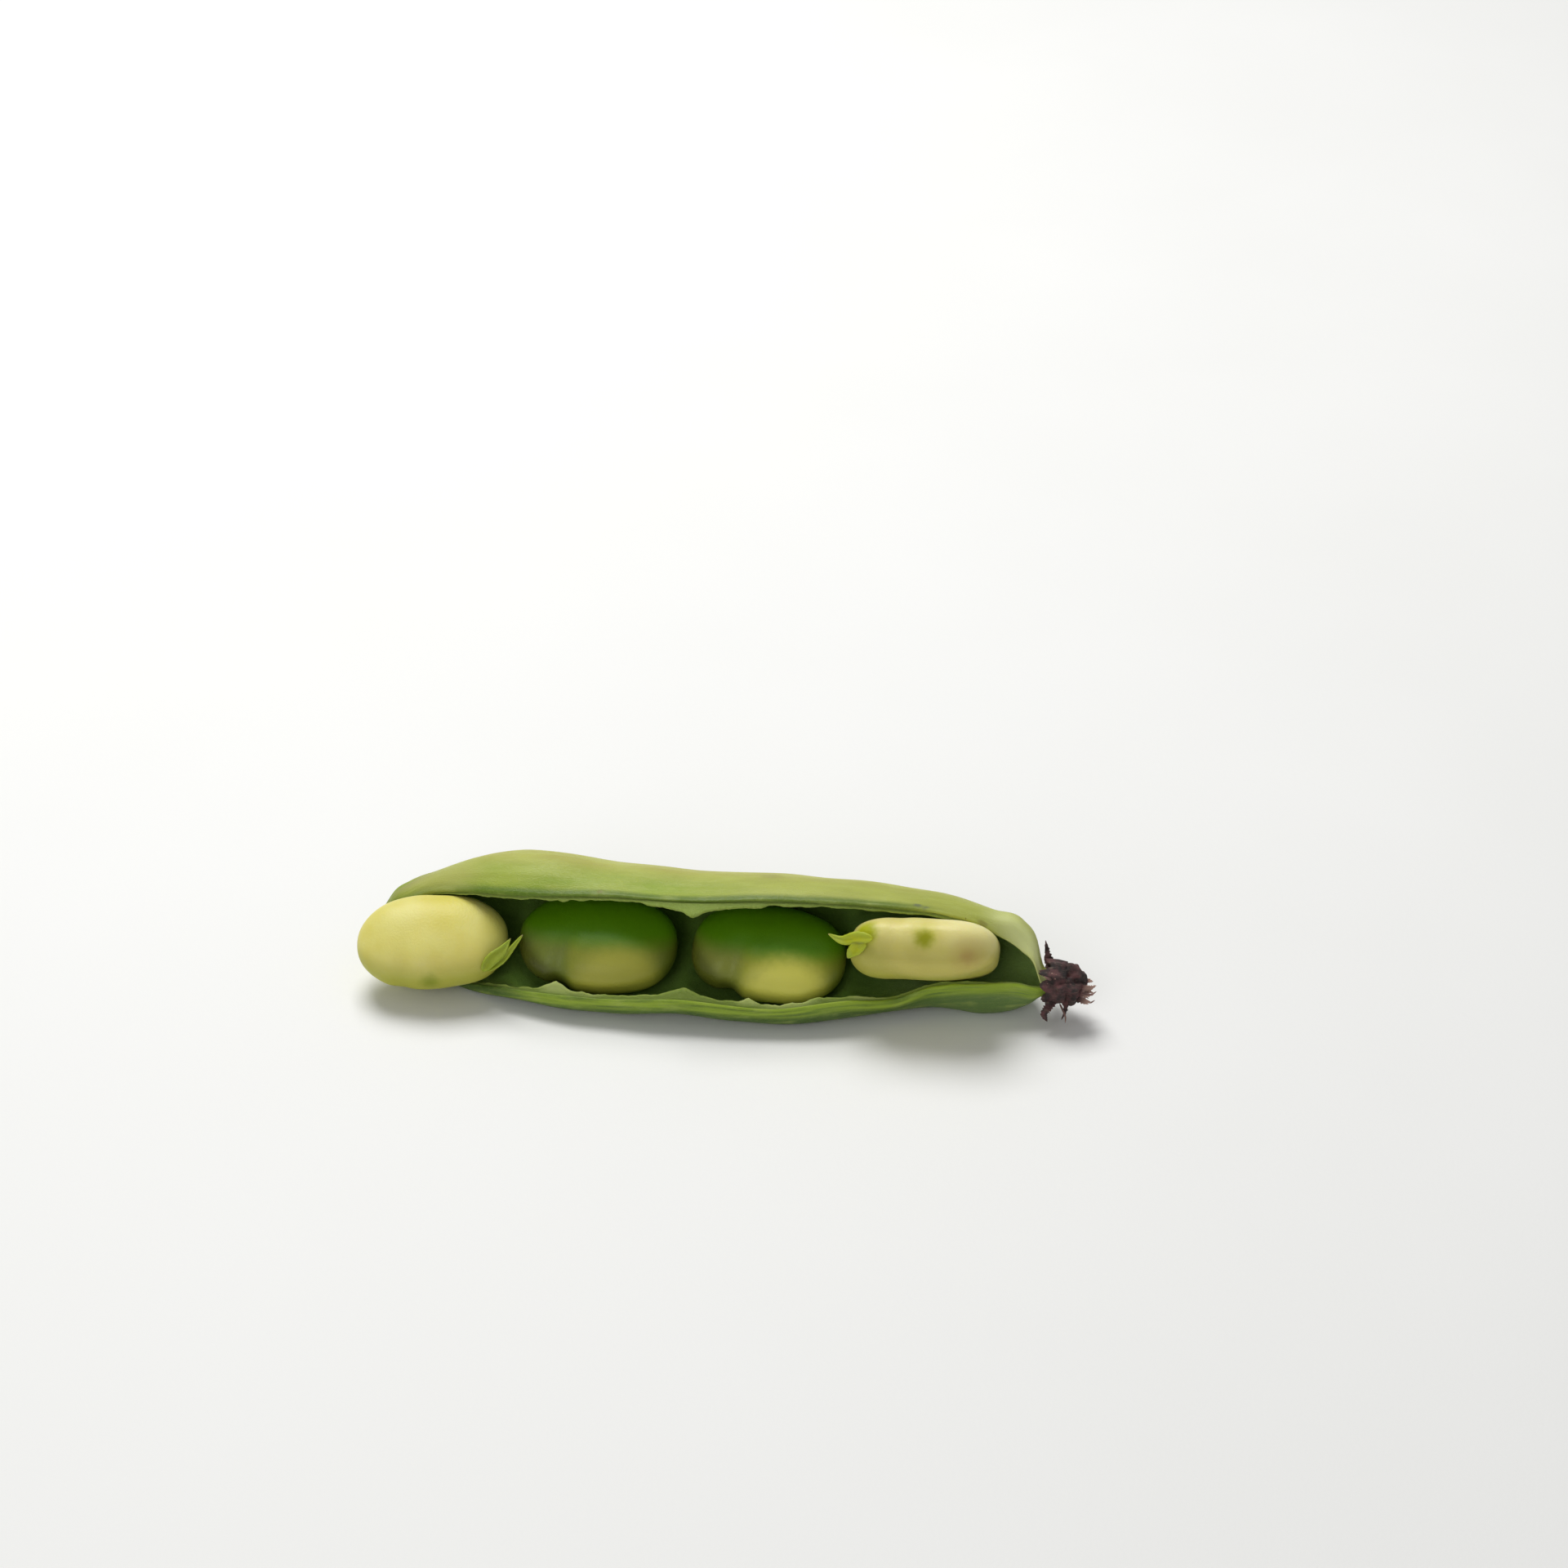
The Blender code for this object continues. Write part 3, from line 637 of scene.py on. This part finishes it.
def make_calyx(material):
    """The calyx as overlapping crumpled bodies. The field `fray` is 1 on its pale frayed strands."""
    bodies = []
    for body in (knob(), collar()):
        bodies.append((*body, np.zeros(len(body[0]))))
    crumple_length, crumple_depth = LOBE_CRUMPLE
    for number, stops in enumerate(LOBES + STRANDS):
        corners, faces, length, _ = strap(stops, seed=70 + number, **LOBE)
        crumple = crumple_depth * ripple(corners, crumple_length, seed=80 + number)
        corners = corners + crumple[:, None] * FACING_VIEWER
        is_strand = number >= len(LOBES)
        bodies.append((corners, faces, between(length, *FRAYED) * is_strand))
    for number, stops in enumerate(FIBRES):
        corners, faces, length, _ = strap(stops, stops[0][3], seed=90 + number, **FIBRE)
        bodies.append((corners, faces, FIBRE_FRAY * length))
    corners, faces, fray = joined(bodies)
    add_piece("withered_calyx", "calyx", corners, faces, material, {"fray": fray})


# Materials


def seen(red, green, blue):
    """A colour as linear light from its seen levels, 0 to 255."""
    levels = [level / 255 for level in (red, green, blue)]
    linear = [level / 12.92 if level <= 0.04045 else ((level + 0.055) / 1.055) ** 2.4 for level in levels]
    return (*linear, 1.0)


# Colours: the upper valve is pale and yellowish, partly painted light where its top faces the lamp above;
# the lower one is greener and darker, partly painted shade on its underside; the lining is pale fleece.
CREST_PALE = seen(186, 190, 94)
CREST_WARM = seen(180, 178, 92)
CREST_GREEN = seen(146, 172, 46)
# A bright band along the lower lip: partly the lip's own green, partly a painted highlight on its top edge.
LIP_GREEN_AND_HIGHLIGHT = seen(152, 178, 50)
SIDE_FRESH = seen(86, 114, 44)
SIDE_DEEP = seen(68, 94, 35)
SIDE_NECK = seen(108, 136, 72)
LIP_GREEN = seen(74, 106, 4)
RIB_LIGHT = seen(194, 200, 104)
BLOOM = seen(188, 200, 108)
FLECK_BROWN = seen(92, 74, 36)
SPOT_GREY = seen(104, 112, 92)
SCAR_BROWN = seen(128, 112, 62)
SEAM_GREEN = seen(96, 124, 40)
FLEECE_PALE = seen(170, 186, 100)
FLEECE_GREEN = seen(120, 148, 50)
FLEECE_CREAM = seen(202, 216, 132)
# The lining is painted darker and greener deeper in the pod as shade, and paler toward the neck as painted
# light.
LINING_SHADE = seen(112, 150, 62)
LINING_LIT = seen(176, 208, 118)
BEAK_BROWN = seen(74, 58, 34)
FUNICLE_CORES = {"funicle_1": seen(152, 164, 0), "funicle_4": seen(190, 196, 0)}
FUNICLE_EDGE = seen(164, 184, 60)
FUNICLE_TIP = seen(158, 132, 112)
CALYX_DARK = seen(48, 38, 37)
CALYX_PURPLE = seen(110, 70, 70)
CALYX_DRY = seen(126, 108, 94)
CALYX_FRAY = seen(198, 160, 144)
FLOOR_WHITE = seen(244, 244, 241)
FLOOR_BRIGHT = seen(250, 250, 248)

# Where the pod's looks change, each from where the change starts to where it is full: first places along
# the pod, then distances from the lip, and last the distance from the seam as a part of the change between
# the valves.
GREENER_TO_BEAK = (16.0, -14.0)
RIM_BEFORE_NECK = (42.0, 30.0)
SIDE_AT_NECK = (34.0, 47.0)
BAND_PAST_BEAK = (-38.0, -27.0)
BROWN_BEAK = (-59.4, -61.4)
LINING_AT_NECK = (26.0, 38.0)
CREST_FROM_LIP = (9.5, 3.0)
RIM_FROM_LIP = (1.5, 0.2)
BAND_FROM_LIP = (2.3, 0.6)
LINING_FROM_LIP = (1.2, 6.0)
SEAM_BETWEEN_VALVES = (0.12, 0.03)

# Marks on the upper valve: the place along the pod and round it, the radii where the mark ends and where it
# is full, its strength and its colour. The first and the third are pale patches of painted light on its ends,
# where the valve turns from the lamp; the second is a soft tan patch near the beak.
POD_MARKS_AND_PAINTED_LIGHT = (
    ((54.0, 72.0), 9.5, 2.0, 0.85, seen(226, 232, 164)),
    ((-55.0, 65.0), 8.0, 1.0, 0.6, seen(164, 154, 100)),
    ((-49.0, 70.0), 11.0, 2.0, 0.7, seen(190, 190, 108)),
    ((35.2, 75.0), 1.1, 0.3, 0.7, SPOT_GREY),
    ((36.6, 75.6), 0.8, 0.2, 0.5, SPOT_GREY),
    ((46.5, 75.8), 1.3, 0.3, 0.5, SCAR_BROWN),
    ((-20.0, 75.4), 0.8, 0.2, 0.4, SCAR_BROWN),
    ((9.0, 66.0), 3.2, 0.6, 0.25, SCAR_BROWN),
)
# Pale patches on the torn fleece of the lower lip: the place along the pod, the radii where the patch ends
# and where it is full, and its strength.
FLEECE_PATCHES = (
    (-26.0, 4.5, 1.0, 0.75),
    (-20.5, 4.0, 0.8, 0.45),
    (7.5, 3.0, 0.8, 0.8),
    (14.5, 6.5, 2.0, 0.75),
    (27.5, 4.0, 1.0, 0.5),
)

# Each bean's look: its two main colours, its shades, and its spots. A shade is painted shade: a direction in
# the bean's own axes, the start and end of the change along it in millimetres, its strength and its colour. A
# spot is a place in the same axes, the radii where it ends and where it is full, a strength and a colour;
# some spots are painted light.
# Painted shade colours for the beans' shaded tops, root tips and far ends.
BEAN_SHADE_GREEN = seen(92, 144, 0)
ROOT_TIP_SHADE = seen(112, 126, 48)
ROOT_TIP_DEEP_SHADE = seen(72, 76, 16)
FAR_END_SHADE = seen(100, 116, 30)
BEAN_LOOKS = {
    "bean_1": {
        "colours": (seen(230, 222, 128), seen(226, 216, 116)),
        # Painted shade on the lower front and on the far end.
        "shades": (
            ((0.0, -0.3, -1.0), -2.5, 1.5, 0.85, seen(168, 170, 50)),
            ((1.0, 0.0, 0.0), 7.5, 13.0, 0.75, seen(184, 182, 84)),
        ),
        "spots": (
            ((2.6, 4.1, 4.7), 6.5, 1.3, 0.6, seen(218, 206, 70)),
            ((-0.3, -8.6, 1.2), 2.6, 0.0, 0.85, seen(132, 144, 16)),
        ),
    },
    "bean_2": {
        "colours": (seen(136, 142, 44), seen(142, 146, 52)),
        # Painted shade: the root tip, its lower part and the far end darker, and the top green under the
        # upper valve.
        "shades": (
            ((-1.0, 0.0, 0.0), 2.6, 5.4, 0.75, ROOT_TIP_SHADE),
            ((-1.0, -0.75, -1.0), 8.5, 13.0, 0.85, ROOT_TIP_DEEP_SHADE),
            ((1.0, 0.0, 0.0), 9.0, 13.5, 0.8, FAR_END_SHADE),
            ((0.0, 0.75, 1.0), 0.2, 4.6, 1.0, BEAN_SHADE_GREEN),
        ),
        # Painted light: a pale patch on the lit lobe.
        "spots": (((5.0, -10.6, 0.6), 10.2, 5.6, 0.9, seen(174, 172, 66)),),
    },
    "bean_3": {
        "colours": (seen(156, 160, 50), seen(160, 162, 60)),
        # Painted shade: the root tip, its lower part and the far end darker, and the top green under the
        # upper valve.
        "shades": (
            ((-1.0, 0.0, 0.0), 2.2, 5.0, 0.75, seen(136, 144, 60)),
            ((-1.0, -0.75, -1.0), 8.0, 12.5, 0.8, seen(88, 94, 22)),
            ((1.0, 0.0, 0.0), 8.5, 13.5, 0.8, FAR_END_SHADE),
            ((0.0, 0.75, 1.0), 0.4, 4.6, 1.0, BEAN_SHADE_GREEN),
        ),
        # Painted light: a pale patch on the lit lobe.
        "spots": (((4.6, -9.8, 1.4), 9.8, 5.0, 0.9, seen(222, 218, 98)),),
    },
    "bean_4": {
        "colours": (seen(230, 221, 138), seen(222, 210, 124)),
        # Painted shade: darker on the lower half, under the stalk and on the underside.
        "shades": (
            ((0.0, 0.0, -1.0), -2.0, 1.2, 0.85, seen(198, 188, 92)),
            ((-1.0, 0.0, -0.6), 5.5, 10.5, 0.5, seen(168, 168, 66)),
            ((0.0, 0.4, -1.0), 2.4, 4.6, 0.6, seen(192, 192, 78)),
        ),
        "spots": (
            # The first spot is painted light along the top; the rest are green and tan spots.
            ((7.5, -3.5, 4.6), 8.5, 2.0, 0.8, seen(246, 238, 172)),
            ((-10.1, -6.4, 1.6), 3.2, 0.9, 1.0, seen(172, 178, 0)),
            ((0.3, -7.6, 1.8), 3.4, 0.4, 0.6, seen(206, 204, 64)),
            ((0.1, -7.9, 1.0), 2.5, 0.4, 1.0, seen(158, 160, 4)),
            ((7.7, -7.3, -1.4), 4.6, 0.6, 0.42, seen(188, 160, 90)),
            ((7.6, -7.4, -1.6), 2.0, 0.0, 0.4, seen(176, 132, 78)),
        ),
    },
}


def add_node(tree, kind, **settings):
    made = tree.nodes.new(kind)
    for setting, value in settings.items():
        setattr(made, setting, value)
    return made


def feed(tree, socket, value):
    """Links an output to a socket, or sets a plain value on it."""
    if isinstance(value, bpy.types.NodeSocket):
        tree.links.new(value, socket)
    else:
        socket.default_value = value


def calculate(tree, operation, *values):
    made = add_node(tree, "ShaderNodeMath", operation=operation)
    for socket, value in zip(made.inputs, values):
        feed(tree, socket, value)
    return made.outputs[0]


def vector_math(tree, operation, first, second, output="Value"):
    made = add_node(tree, "ShaderNodeVectorMath", operation=operation)
    feed(tree, made.inputs[0], first)
    feed(tree, made.inputs[1], second)
    return made.outputs[output]


def stretched(tree, place, scale):
    return vector_math(tree, "MULTIPLY", place, scale, "Vector")


def steps(tree, value, start, end):
    """0 before start and 1 after end, with a smooth change between."""
    made = add_node(tree, "ShaderNodeMapRange", interpolation_type="SMOOTHSTEP")
    feed(tree, made.inputs["Value"], value)
    feed(tree, made.inputs["From Min"], start)
    feed(tree, made.inputs["From Max"], end)
    return made.outputs["Result"]


def blended(tree, factor, low, high):
    """A colour between two, by factor."""
    made = add_node(tree, "ShaderNodeMix", data_type="RGBA")
    feed(tree, made.inputs[0], factor)
    feed(tree, made.inputs[6], low)
    feed(tree, made.inputs[7], high)
    return made.outputs[2]


def tinted(tree, base, colour, mask, strength):
    """A colour with another laid over it by a mask, as strong as given where the mask is full."""
    return blended(tree, calculate(tree, "MULTIPLY", mask, strength), base, colour)


def noise(tree, place, scale, detail=3.0, roughness=0.55):
    made = add_node(tree, "ShaderNodeTexNoise")
    feed(tree, made.inputs["Vector"], place)
    feed(tree, made.inputs["Scale"], scale)
    made.inputs["Detail"].default_value = detail
    made.inputs["Roughness"].default_value = roughness
    return made.outputs[0]


def spotted(tree, place, base, spot, ends, full, strength, colour):
    """A colour with a soft spot of another on it, with an uneven edge, as strong as given in its middle."""
    uneven = calculate(tree, "MULTIPLY_ADD", noise(tree, place, 0.9), 1.2, -0.6)
    reach = calculate(tree, "ADD", vector_math(tree, "DISTANCE", place, spot), uneven)
    return tinted(tree, base, colour, steps(tree, reach, ends, full), strength)


def field(tree, name, output="Fac"):
    return add_node(tree, "ShaderNodeAttribute", attribute_name=name).outputs[output]


def body_place(tree):
    """The place in the object's own axes, in millimetres."""
    return stretched(tree, add_node(tree, "ShaderNodeTexCoord").outputs["Object"], (1 / MM,) * 3)


def new_group(name, inputs, outputs):
    tree = bpy.data.node_groups.new(name, "ShaderNodeTree")
    for socket, kind in inputs:
        tree.interface.new_socket(socket, in_out="INPUT", socket_type=kind)
    for socket in outputs:
        tree.interface.new_socket(socket, in_out="OUTPUT", socket_type="NodeSocketFloat")
    return tree, add_node(tree, "NodeGroupInput").outputs, add_node(tree, "NodeGroupOutput").inputs


def placed_group(tree, group, **values):
    made = add_node(tree, "ShaderNodeGroup", node_tree=group)
    for socket, value in values.items():
        feed(tree, made.inputs[socket], value)
    return made.outputs


def flecks_group():
    """Small dark flecks, thinly and unevenly strewn."""
    inputs = (("Place", "NodeSocketVector"), ("Scale", "NodeSocketFloat"), ("Size", "NodeSocketFloat"))
    tree, given, out = new_group("flecks", inputs, ("Mask",))
    cells = add_node(tree, "ShaderNodeTexVoronoi")
    feed(tree, cells.inputs["Vector"], given["Place"])
    feed(tree, cells.inputs["Scale"], given["Scale"])
    core = calculate(tree, "MULTIPLY", given["Size"], 0.35)
    dots = steps(tree, cells.outputs["Distance"], given["Size"], core)
    patches = steps(tree, noise(tree, given["Place"], 0.22, 2.0), 0.50, 0.66)
    uneven = steps(tree, noise(tree, given["Place"], 1.3, 1.0), 0.42, 0.58)
    feed(tree, out["Mask"], calculate(tree, "MULTIPLY", dots, calculate(tree, "MULTIPLY", patches, uneven)))
    return tree


def mottle_group():
    """Soft cloudy patches, and a fine grain within them."""
    inputs = (("Place", "NodeSocketVector"), ("Scale", "NodeSocketFloat"))
    tree, given, out = new_group("mottle", inputs, ("Patches", "Grain"))
    feed(tree, out["Patches"], steps(tree, noise(tree, given["Place"], given["Scale"], 3.0), 0.36, 0.66))
    fine = calculate(tree, "MULTIPLY", given["Scale"], 14.0)
    feed(tree, out["Grain"], noise(tree, given["Place"], fine, 2.0, 0.6))
    return tree


def new_material(name):
    material = bpy.data.materials.new(name)
    material.use_nodes = True
    tree = material.node_tree
    return material, tree, tree.nodes["Principled BSDF"]


def soften(shader, weight, radius, scale):
    """Light passes a little way into the flesh."""
    shader.inputs["Subsurface Weight"].default_value = weight
    shader.inputs["Subsurface Radius"].default_value = radius
    shader.inputs["Subsurface Scale"].default_value = scale


def finish(tree, shader, colour, grain, spread, least):
    """Sets the colour, and a roughness from `least` where the grain is 0 to `spread` more where it is 1."""
    feed(tree, shader.inputs["Base Color"], colour)
    feed(tree, shader.inputs["Roughness"], calculate(tree, "MULTIPLY_ADD", grain, spread, least))


def add_bump(tree, shader, height, distance):
    bump = add_node(tree, "ShaderNodeBump")
    bump.inputs["Strength"].default_value = 1.0
    bump.inputs["Distance"].default_value = distance
    feed(tree, bump.inputs["Height"], height)
    feed(tree, shader.inputs["Normal"], bump.outputs["Normal"])


def pod_material(flecks, mottle):
    """Waxy skin with faint ribs and veins, a patchy bloom, flecks and marks, painted light and shade, and a
    fleecy lining.
    """
    material, tree, shader = new_material("pod_skin_and_fleece")
    place = field(tree, "place", "Vector")
    lining, upper, from_lip = (field(tree, name) for name in ("lining", "upper", "from_lip"))
    split = add_node(tree, "ShaderNodeSeparateXYZ")
    feed(tree, split.inputs["Vector"], place)
    along = split.outputs["X"]
    soft = placed_group(tree, mottle, Place=stretched(tree, place, (0.5, 1.0, 1.0)), Scale=0.16)
    ribs = noise(tree, stretched(tree, place, (0.07, 1.1, 1.0)), 1.0, 4.0)
    netting = add_node(tree, "ShaderNodeTexVoronoi", feature="DISTANCE_TO_EDGE")
    feed(tree, netting.inputs["Vector"], stretched(tree, place, (0.16, 0.42, 1.0)))
    veins = steps(tree, netting.outputs["Distance"], 0.10, 0.0)

    # The upper valve: its own pale green, partly painted paler as light falling on its top.
    crest = blended(tree, soft["Patches"], CREST_WARM, CREST_PALE)
    to_beak = calculate(tree, "MULTIPLY_ADD", steps(tree, along, *GREENER_TO_BEAK), 0.6, 0.4)
    patchy = calculate(tree, "MULTIPLY_ADD", soft["Patches"], -0.35, 0.9)
    greener = calculate(tree, "MULTIPLY", to_beak, patchy)
    crest = tinted(tree, crest, CREST_GREEN, steps(tree, from_lip, *CREST_FROM_LIP), greener)
    before_neck = calculate(tree, "MULTIPLY", steps(tree, along, *RIM_BEFORE_NECK), 0.8)
    rim = tinted(tree, crest, LIP_GREEN, steps(tree, from_lip, *RIM_FROM_LIP), before_neck)
    # The lower valve: its own green, partly painted darker as shade on its underside.
    side = blended(tree, soft["Patches"], SIDE_DEEP, SIDE_FRESH)
    side = tinted(tree, side, SIDE_NECK, steps(tree, along, *SIDE_AT_NECK), 0.75)
    past_beak = steps(tree, along, *BAND_PAST_BEAK)
    streaks = calculate(tree, "MULTIPLY", past_beak, steps(tree, ribs, 0.25, 0.6))
    # Painted highlight, partly the lip's own green: a bright band along the lower lip's top edge.
    side = tinted(tree, side, LIP_GREEN_AND_HIGHLIGHT, steps(tree, from_lip, *BAND_FROM_LIP), streaks)

    skin = blended(tree, upper, side, rim)
    from_seam = calculate(tree, "ABSOLUTE", calculate(tree, "SUBTRACT", upper, 0.5))
    skin = tinted(tree, skin, SEAM_GREEN, steps(tree, from_seam, *SEAM_BETWEEN_VALVES), 0.55)
    bloom = steps(tree, noise(tree, stretched(tree, place, (0.35, 0.8, 1.0)), 0.45, 3.0), 0.5, 0.74)
    skin = tinted(tree, skin, BLOOM, bloom, 0.3)
    skin = tinted(tree, skin, RIB_LIGHT, steps(tree, ribs, 0.5, 0.75), 0.12)
    skin = tinted(tree, skin, RIB_LIGHT, veins, 0.07)
    specks = placed_group(tree, flecks, Place=place, Scale=0.9, Size=0.14)
    skin = tinted(tree, skin, FLECK_BROWN, specks["Mask"], 0.6)
    # The first and third marks are painted light on the valve's ends.
    for (x, around), *mark in POD_MARKS_AND_PAINTED_LIGHT:
        skin = spotted(tree, place, skin, (x, around, 0.0), *mark)
    skin = blended(tree, steps(tree, along, *BROWN_BEAK), skin, BEAK_BROWN)

    fleece = noise(tree, place, 1.4, 4.0, 0.65)
    near_lip = blended(tree, fleece, FLEECE_GREEN, FLEECE_PALE)
    for x, *patch in FLEECE_PATCHES:
        near_lip = spotted(tree, place, near_lip, (x, 0.0, PATTERN_DEPTH), *patch, FLEECE_CREAM)
    # Painted shade on the lining deep inside the pod, and painted light on it toward the neck.
    inside = blended(tree, steps(tree, along, *LINING_AT_NECK), LINING_SHADE, LINING_LIT)
    inside = tinted(tree, inside, FLEECE_GREEN, fleece, 0.6)
    lined = blended(tree, steps(tree, from_lip, *LINING_FROM_LIP), near_lip, inside)
    feed(tree, shader.inputs["Base Color"], blended(tree, lining, skin, lined))

    gloss = calculate(tree, "MULTIPLY_ADD", soft["Grain"], 0.16, 0.38)
    dull = calculate(tree, "MAXIMUM", gloss, calculate(tree, "MULTIPLY", lining, 0.85))
    feed(tree, shader.inputs["Roughness"], dull)
    shader.inputs["Specular IOR Level"].default_value = 0.3
    soften(shader, weight=0.35, radius=(1.0, 0.95, 0.35), scale=1.6 * MM)

    skin_height = calculate(tree, "MULTIPLY_ADD", ribs, 0.22, calculate(tree, "MULTIPLY", veins, 0.12))
    skin_height = calculate(tree, "MULTIPLY_ADD", soft["Grain"], 0.25, skin_height)
    fleece_height_map = calculate(tree, "MULTIPLY", noise(tree, place, 3.2, 5.0, 0.7), 2.2)
    mixed = add_node(tree, "ShaderNodeMix", data_type="FLOAT")
    feed(tree, mixed.inputs[0], lining)
    feed(tree, mixed.inputs[2], skin_height)
    feed(tree, mixed.inputs[3], fleece_height_map)
    add_bump(tree, shader, mixed.outputs[0], 0.16 * MM)
    return material


def bean_material(name, flecks, mottle):
    """A satin seed coat with cloudy patches, spots and flecks, and with painted shade and painted light."""
    look = BEAN_LOOKS[name]
    material, tree, shader = new_material(f"{name}_seed_coat")
    place = field(tree, "place", "Vector")
    soft = placed_group(tree, mottle, Place=place, Scale=0.17)
    coat = blended(tree, soft["Patches"], *look["colours"])
    # Painted shade: darker, greener ramps where the bean is shaded.
    for axis, start, end, strength, colour in look["shades"]:
        along = vector_math(tree, "DOT_PRODUCT", place, axis)
        coat = tinted(tree, coat, colour, steps(tree, along, start, end), strength)
    # Spots, some of them painted light.
    for spot in look["spots"]:
        coat = spotted(tree, place, coat, *spot)
    specks = placed_group(tree, flecks, Place=place, Scale=0.8, Size=0.10)
    coat = tinted(tree, coat, FLECK_BROWN, specks["Mask"], 0.22)
    finish(tree, shader, coat, soft["Grain"], spread=0.16, least=0.36)
    shader.inputs["Specular IOR Level"].default_value = 0.32
    shader.inputs["Coat Weight"].default_value = 0.06
    shader.inputs["Coat Roughness"].default_value = 0.32
    soften(shader, weight=0.4, radius=(1.0, 0.85, 0.3), scale=2.2 * MM)
    add_bump(tree, shader, soft["Grain"], 0.05 * MM)
    return material


def funicle_material(name, mottle):
    """Moist stalk flesh: bright in its middle, paler at its edges, dry and lilac at its tip."""
    material, tree, shader = new_material(f"{name}_flesh")
    length, side = field(tree, "length"), field(tree, "side")
    soft = placed_group(tree, mottle, Place=body_place(tree), Scale=0.7)
    to_edge = steps(tree, calculate(tree, "ABSOLUTE", side), 0.25, 0.95)
    flesh = tinted(tree, FUNICLE_CORES[name], FUNICLE_EDGE, to_edge, 0.4)
    flesh = tinted(tree, flesh, FUNICLE_EDGE, soft["Patches"], 0.3)
    flesh = tinted(tree, flesh, FUNICLE_EDGE, steps(tree, length, 0.55, 0.85), 0.6)
    flesh = tinted(tree, flesh, FUNICLE_TIP, steps(tree, length, 0.93, 1.0), 0.8)
    finish(tree, shader, flesh, soft["Grain"], spread=0.2, least=0.32)
    soften(shader, weight=0.5, radius=(0.9, 1.0, 0.25), scale=1.2 * MM)
    add_bump(tree, shader, soft["Grain"], 0.08 * MM)
    return material


def calyx_material(flecks, mottle):
    """Dry crumpled tissue, brown and purple, with pale frayed ends."""
    material, tree, shader = new_material("withered_tissue")
    place = body_place(tree)
    soft = placed_group(tree, mottle, Place=place, Scale=0.6)
    streaks = noise(tree, stretched(tree, place, (0.5, 2.2, 2.2)), 1.0, 5.0, 0.7)
    tissue = blended(tree, soft["Patches"], CALYX_DARK, CALYX_PURPLE)
    tissue = tinted(tree, tissue, CALYX_DRY, steps(tree, streaks, 0.52, 0.72), 0.7)
    tissue = blended(tree, field(tree, "fray"), tissue, CALYX_FRAY)
    specks = placed_group(tree, flecks, Place=place, Scale=1.6, Size=0.3)
    tissue = tinted(tree, tissue, CALYX_FRAY, specks["Mask"], 0.8)
    finish(tree, shader, tissue, soft["Grain"], spread=0.3, least=0.5)
    add_bump(tree, shader, calculate(tree, "ADD", streaks, soft["Grain"]), 0.22 * MM)
    return material


def floor_material():
    """Plain pale board with a faint unevenness."""
    material, tree, shader = new_material("pale_floor")
    place = body_place(tree)
    cloud = noise(tree, place, 0.01, 3.0)
    finish(tree, shader, blended(tree, cloud, FLOOR_WHITE, FLOOR_BRIGHT), cloud, spread=0.1, least=0.55)
    add_bump(tree, shader, noise(tree, place, 1.5, 3.0), 0.02 * MM)
    return material


# Camera, lights and floor


def view_axes():
    """The view's right, up and back directions."""
    azimuth, elevation = math.radians(CAMERA_AZIMUTH), math.radians(CAMERA_ELEVATION)
    right = Vector((math.cos(azimuth), math.sin(azimuth), 0))
    level = Vector((math.sin(azimuth), -math.cos(azimuth), 0))
    back = level * math.cos(elevation) + Vector((0, 0, math.sin(elevation)))
    return right, back.cross(right), back


def make_camera():
    right, up, back = view_axes()
    middle = Vector(POD_MIDDLE) - Vector((*FOOTPRINT_MIDDLE, 0))
    aim = middle + right * LOOKS_RIGHT_OF_MIDDLE + up * LOOKS_ABOVE_MIDDLE
    lens = bpy.data.cameras.new("camera")
    lens.lens = CAMERA_LENS
    lens.sensor_width = CAMERA_SENSOR
    lens.clip_start = CAMERA_NEAREST * MM
    camera = add_object("camera", lens)
    camera.location = (aim + back * CAMERA_DISTANCE) * MM
    camera.rotation_euler = (-back).to_track_quat("-Z", "Y").to_euler()
    bpy.context.scene.camera = camera


def add_light(name):
    """A square soft light that points at the pod."""
    place, size, power = LIGHTS[name]
    lamp = bpy.data.lights.new(name, "AREA")
    lamp.size = size
    lamp.energy = power
    light = add_object(name, lamp)
    light.location = place
    light.rotation_euler = (-Vector(place)).to_track_quat("-Z", "Y").to_euler()


def make_surroundings():
    """A pale floor, a strong soft light above and behind, a weak one in front, and an even glow."""
    floor_mesh = bpy.data.meshes.new("floor")
    half = FLOOR_SIZE / 2
    corners = [(-half, -half, 0), (half, -half, 0), (half, half, 0), (-half, half, 0)]
    floor_mesh.from_pydata(corners, [], [(0, 1, 2, 3)])
    floor_mesh.materials.append(floor_material())
    floor = add_object("floor", floor_mesh)
    for name in LIGHTS:
        add_light(name)
    world = bpy.data.worlds.new("glow")
    world.use_nodes = True
    background = world.node_tree.nodes["Background"]
    background.inputs["Color"].default_value = (1.0, 1.0, 1.0, 1.0)
    background.inputs["Strength"].default_value = GLOW
    bpy.context.scene.world = world
    bpy.context.scene.view_settings.view_transform = "Standard"


def main():
    make_camera()
    make_surroundings()
    flecks, mottle = flecks_group(), mottle_group()
    make_pod(pod_material(flecks, mottle))
    for name in BEANS:
        make_bean(name, bean_material(name, flecks, mottle))
    for name in FUNICLES:
        make_funicle(name, funicle_material(name, mottle))
    make_calyx(calyx_material(flecks, mottle))


main()
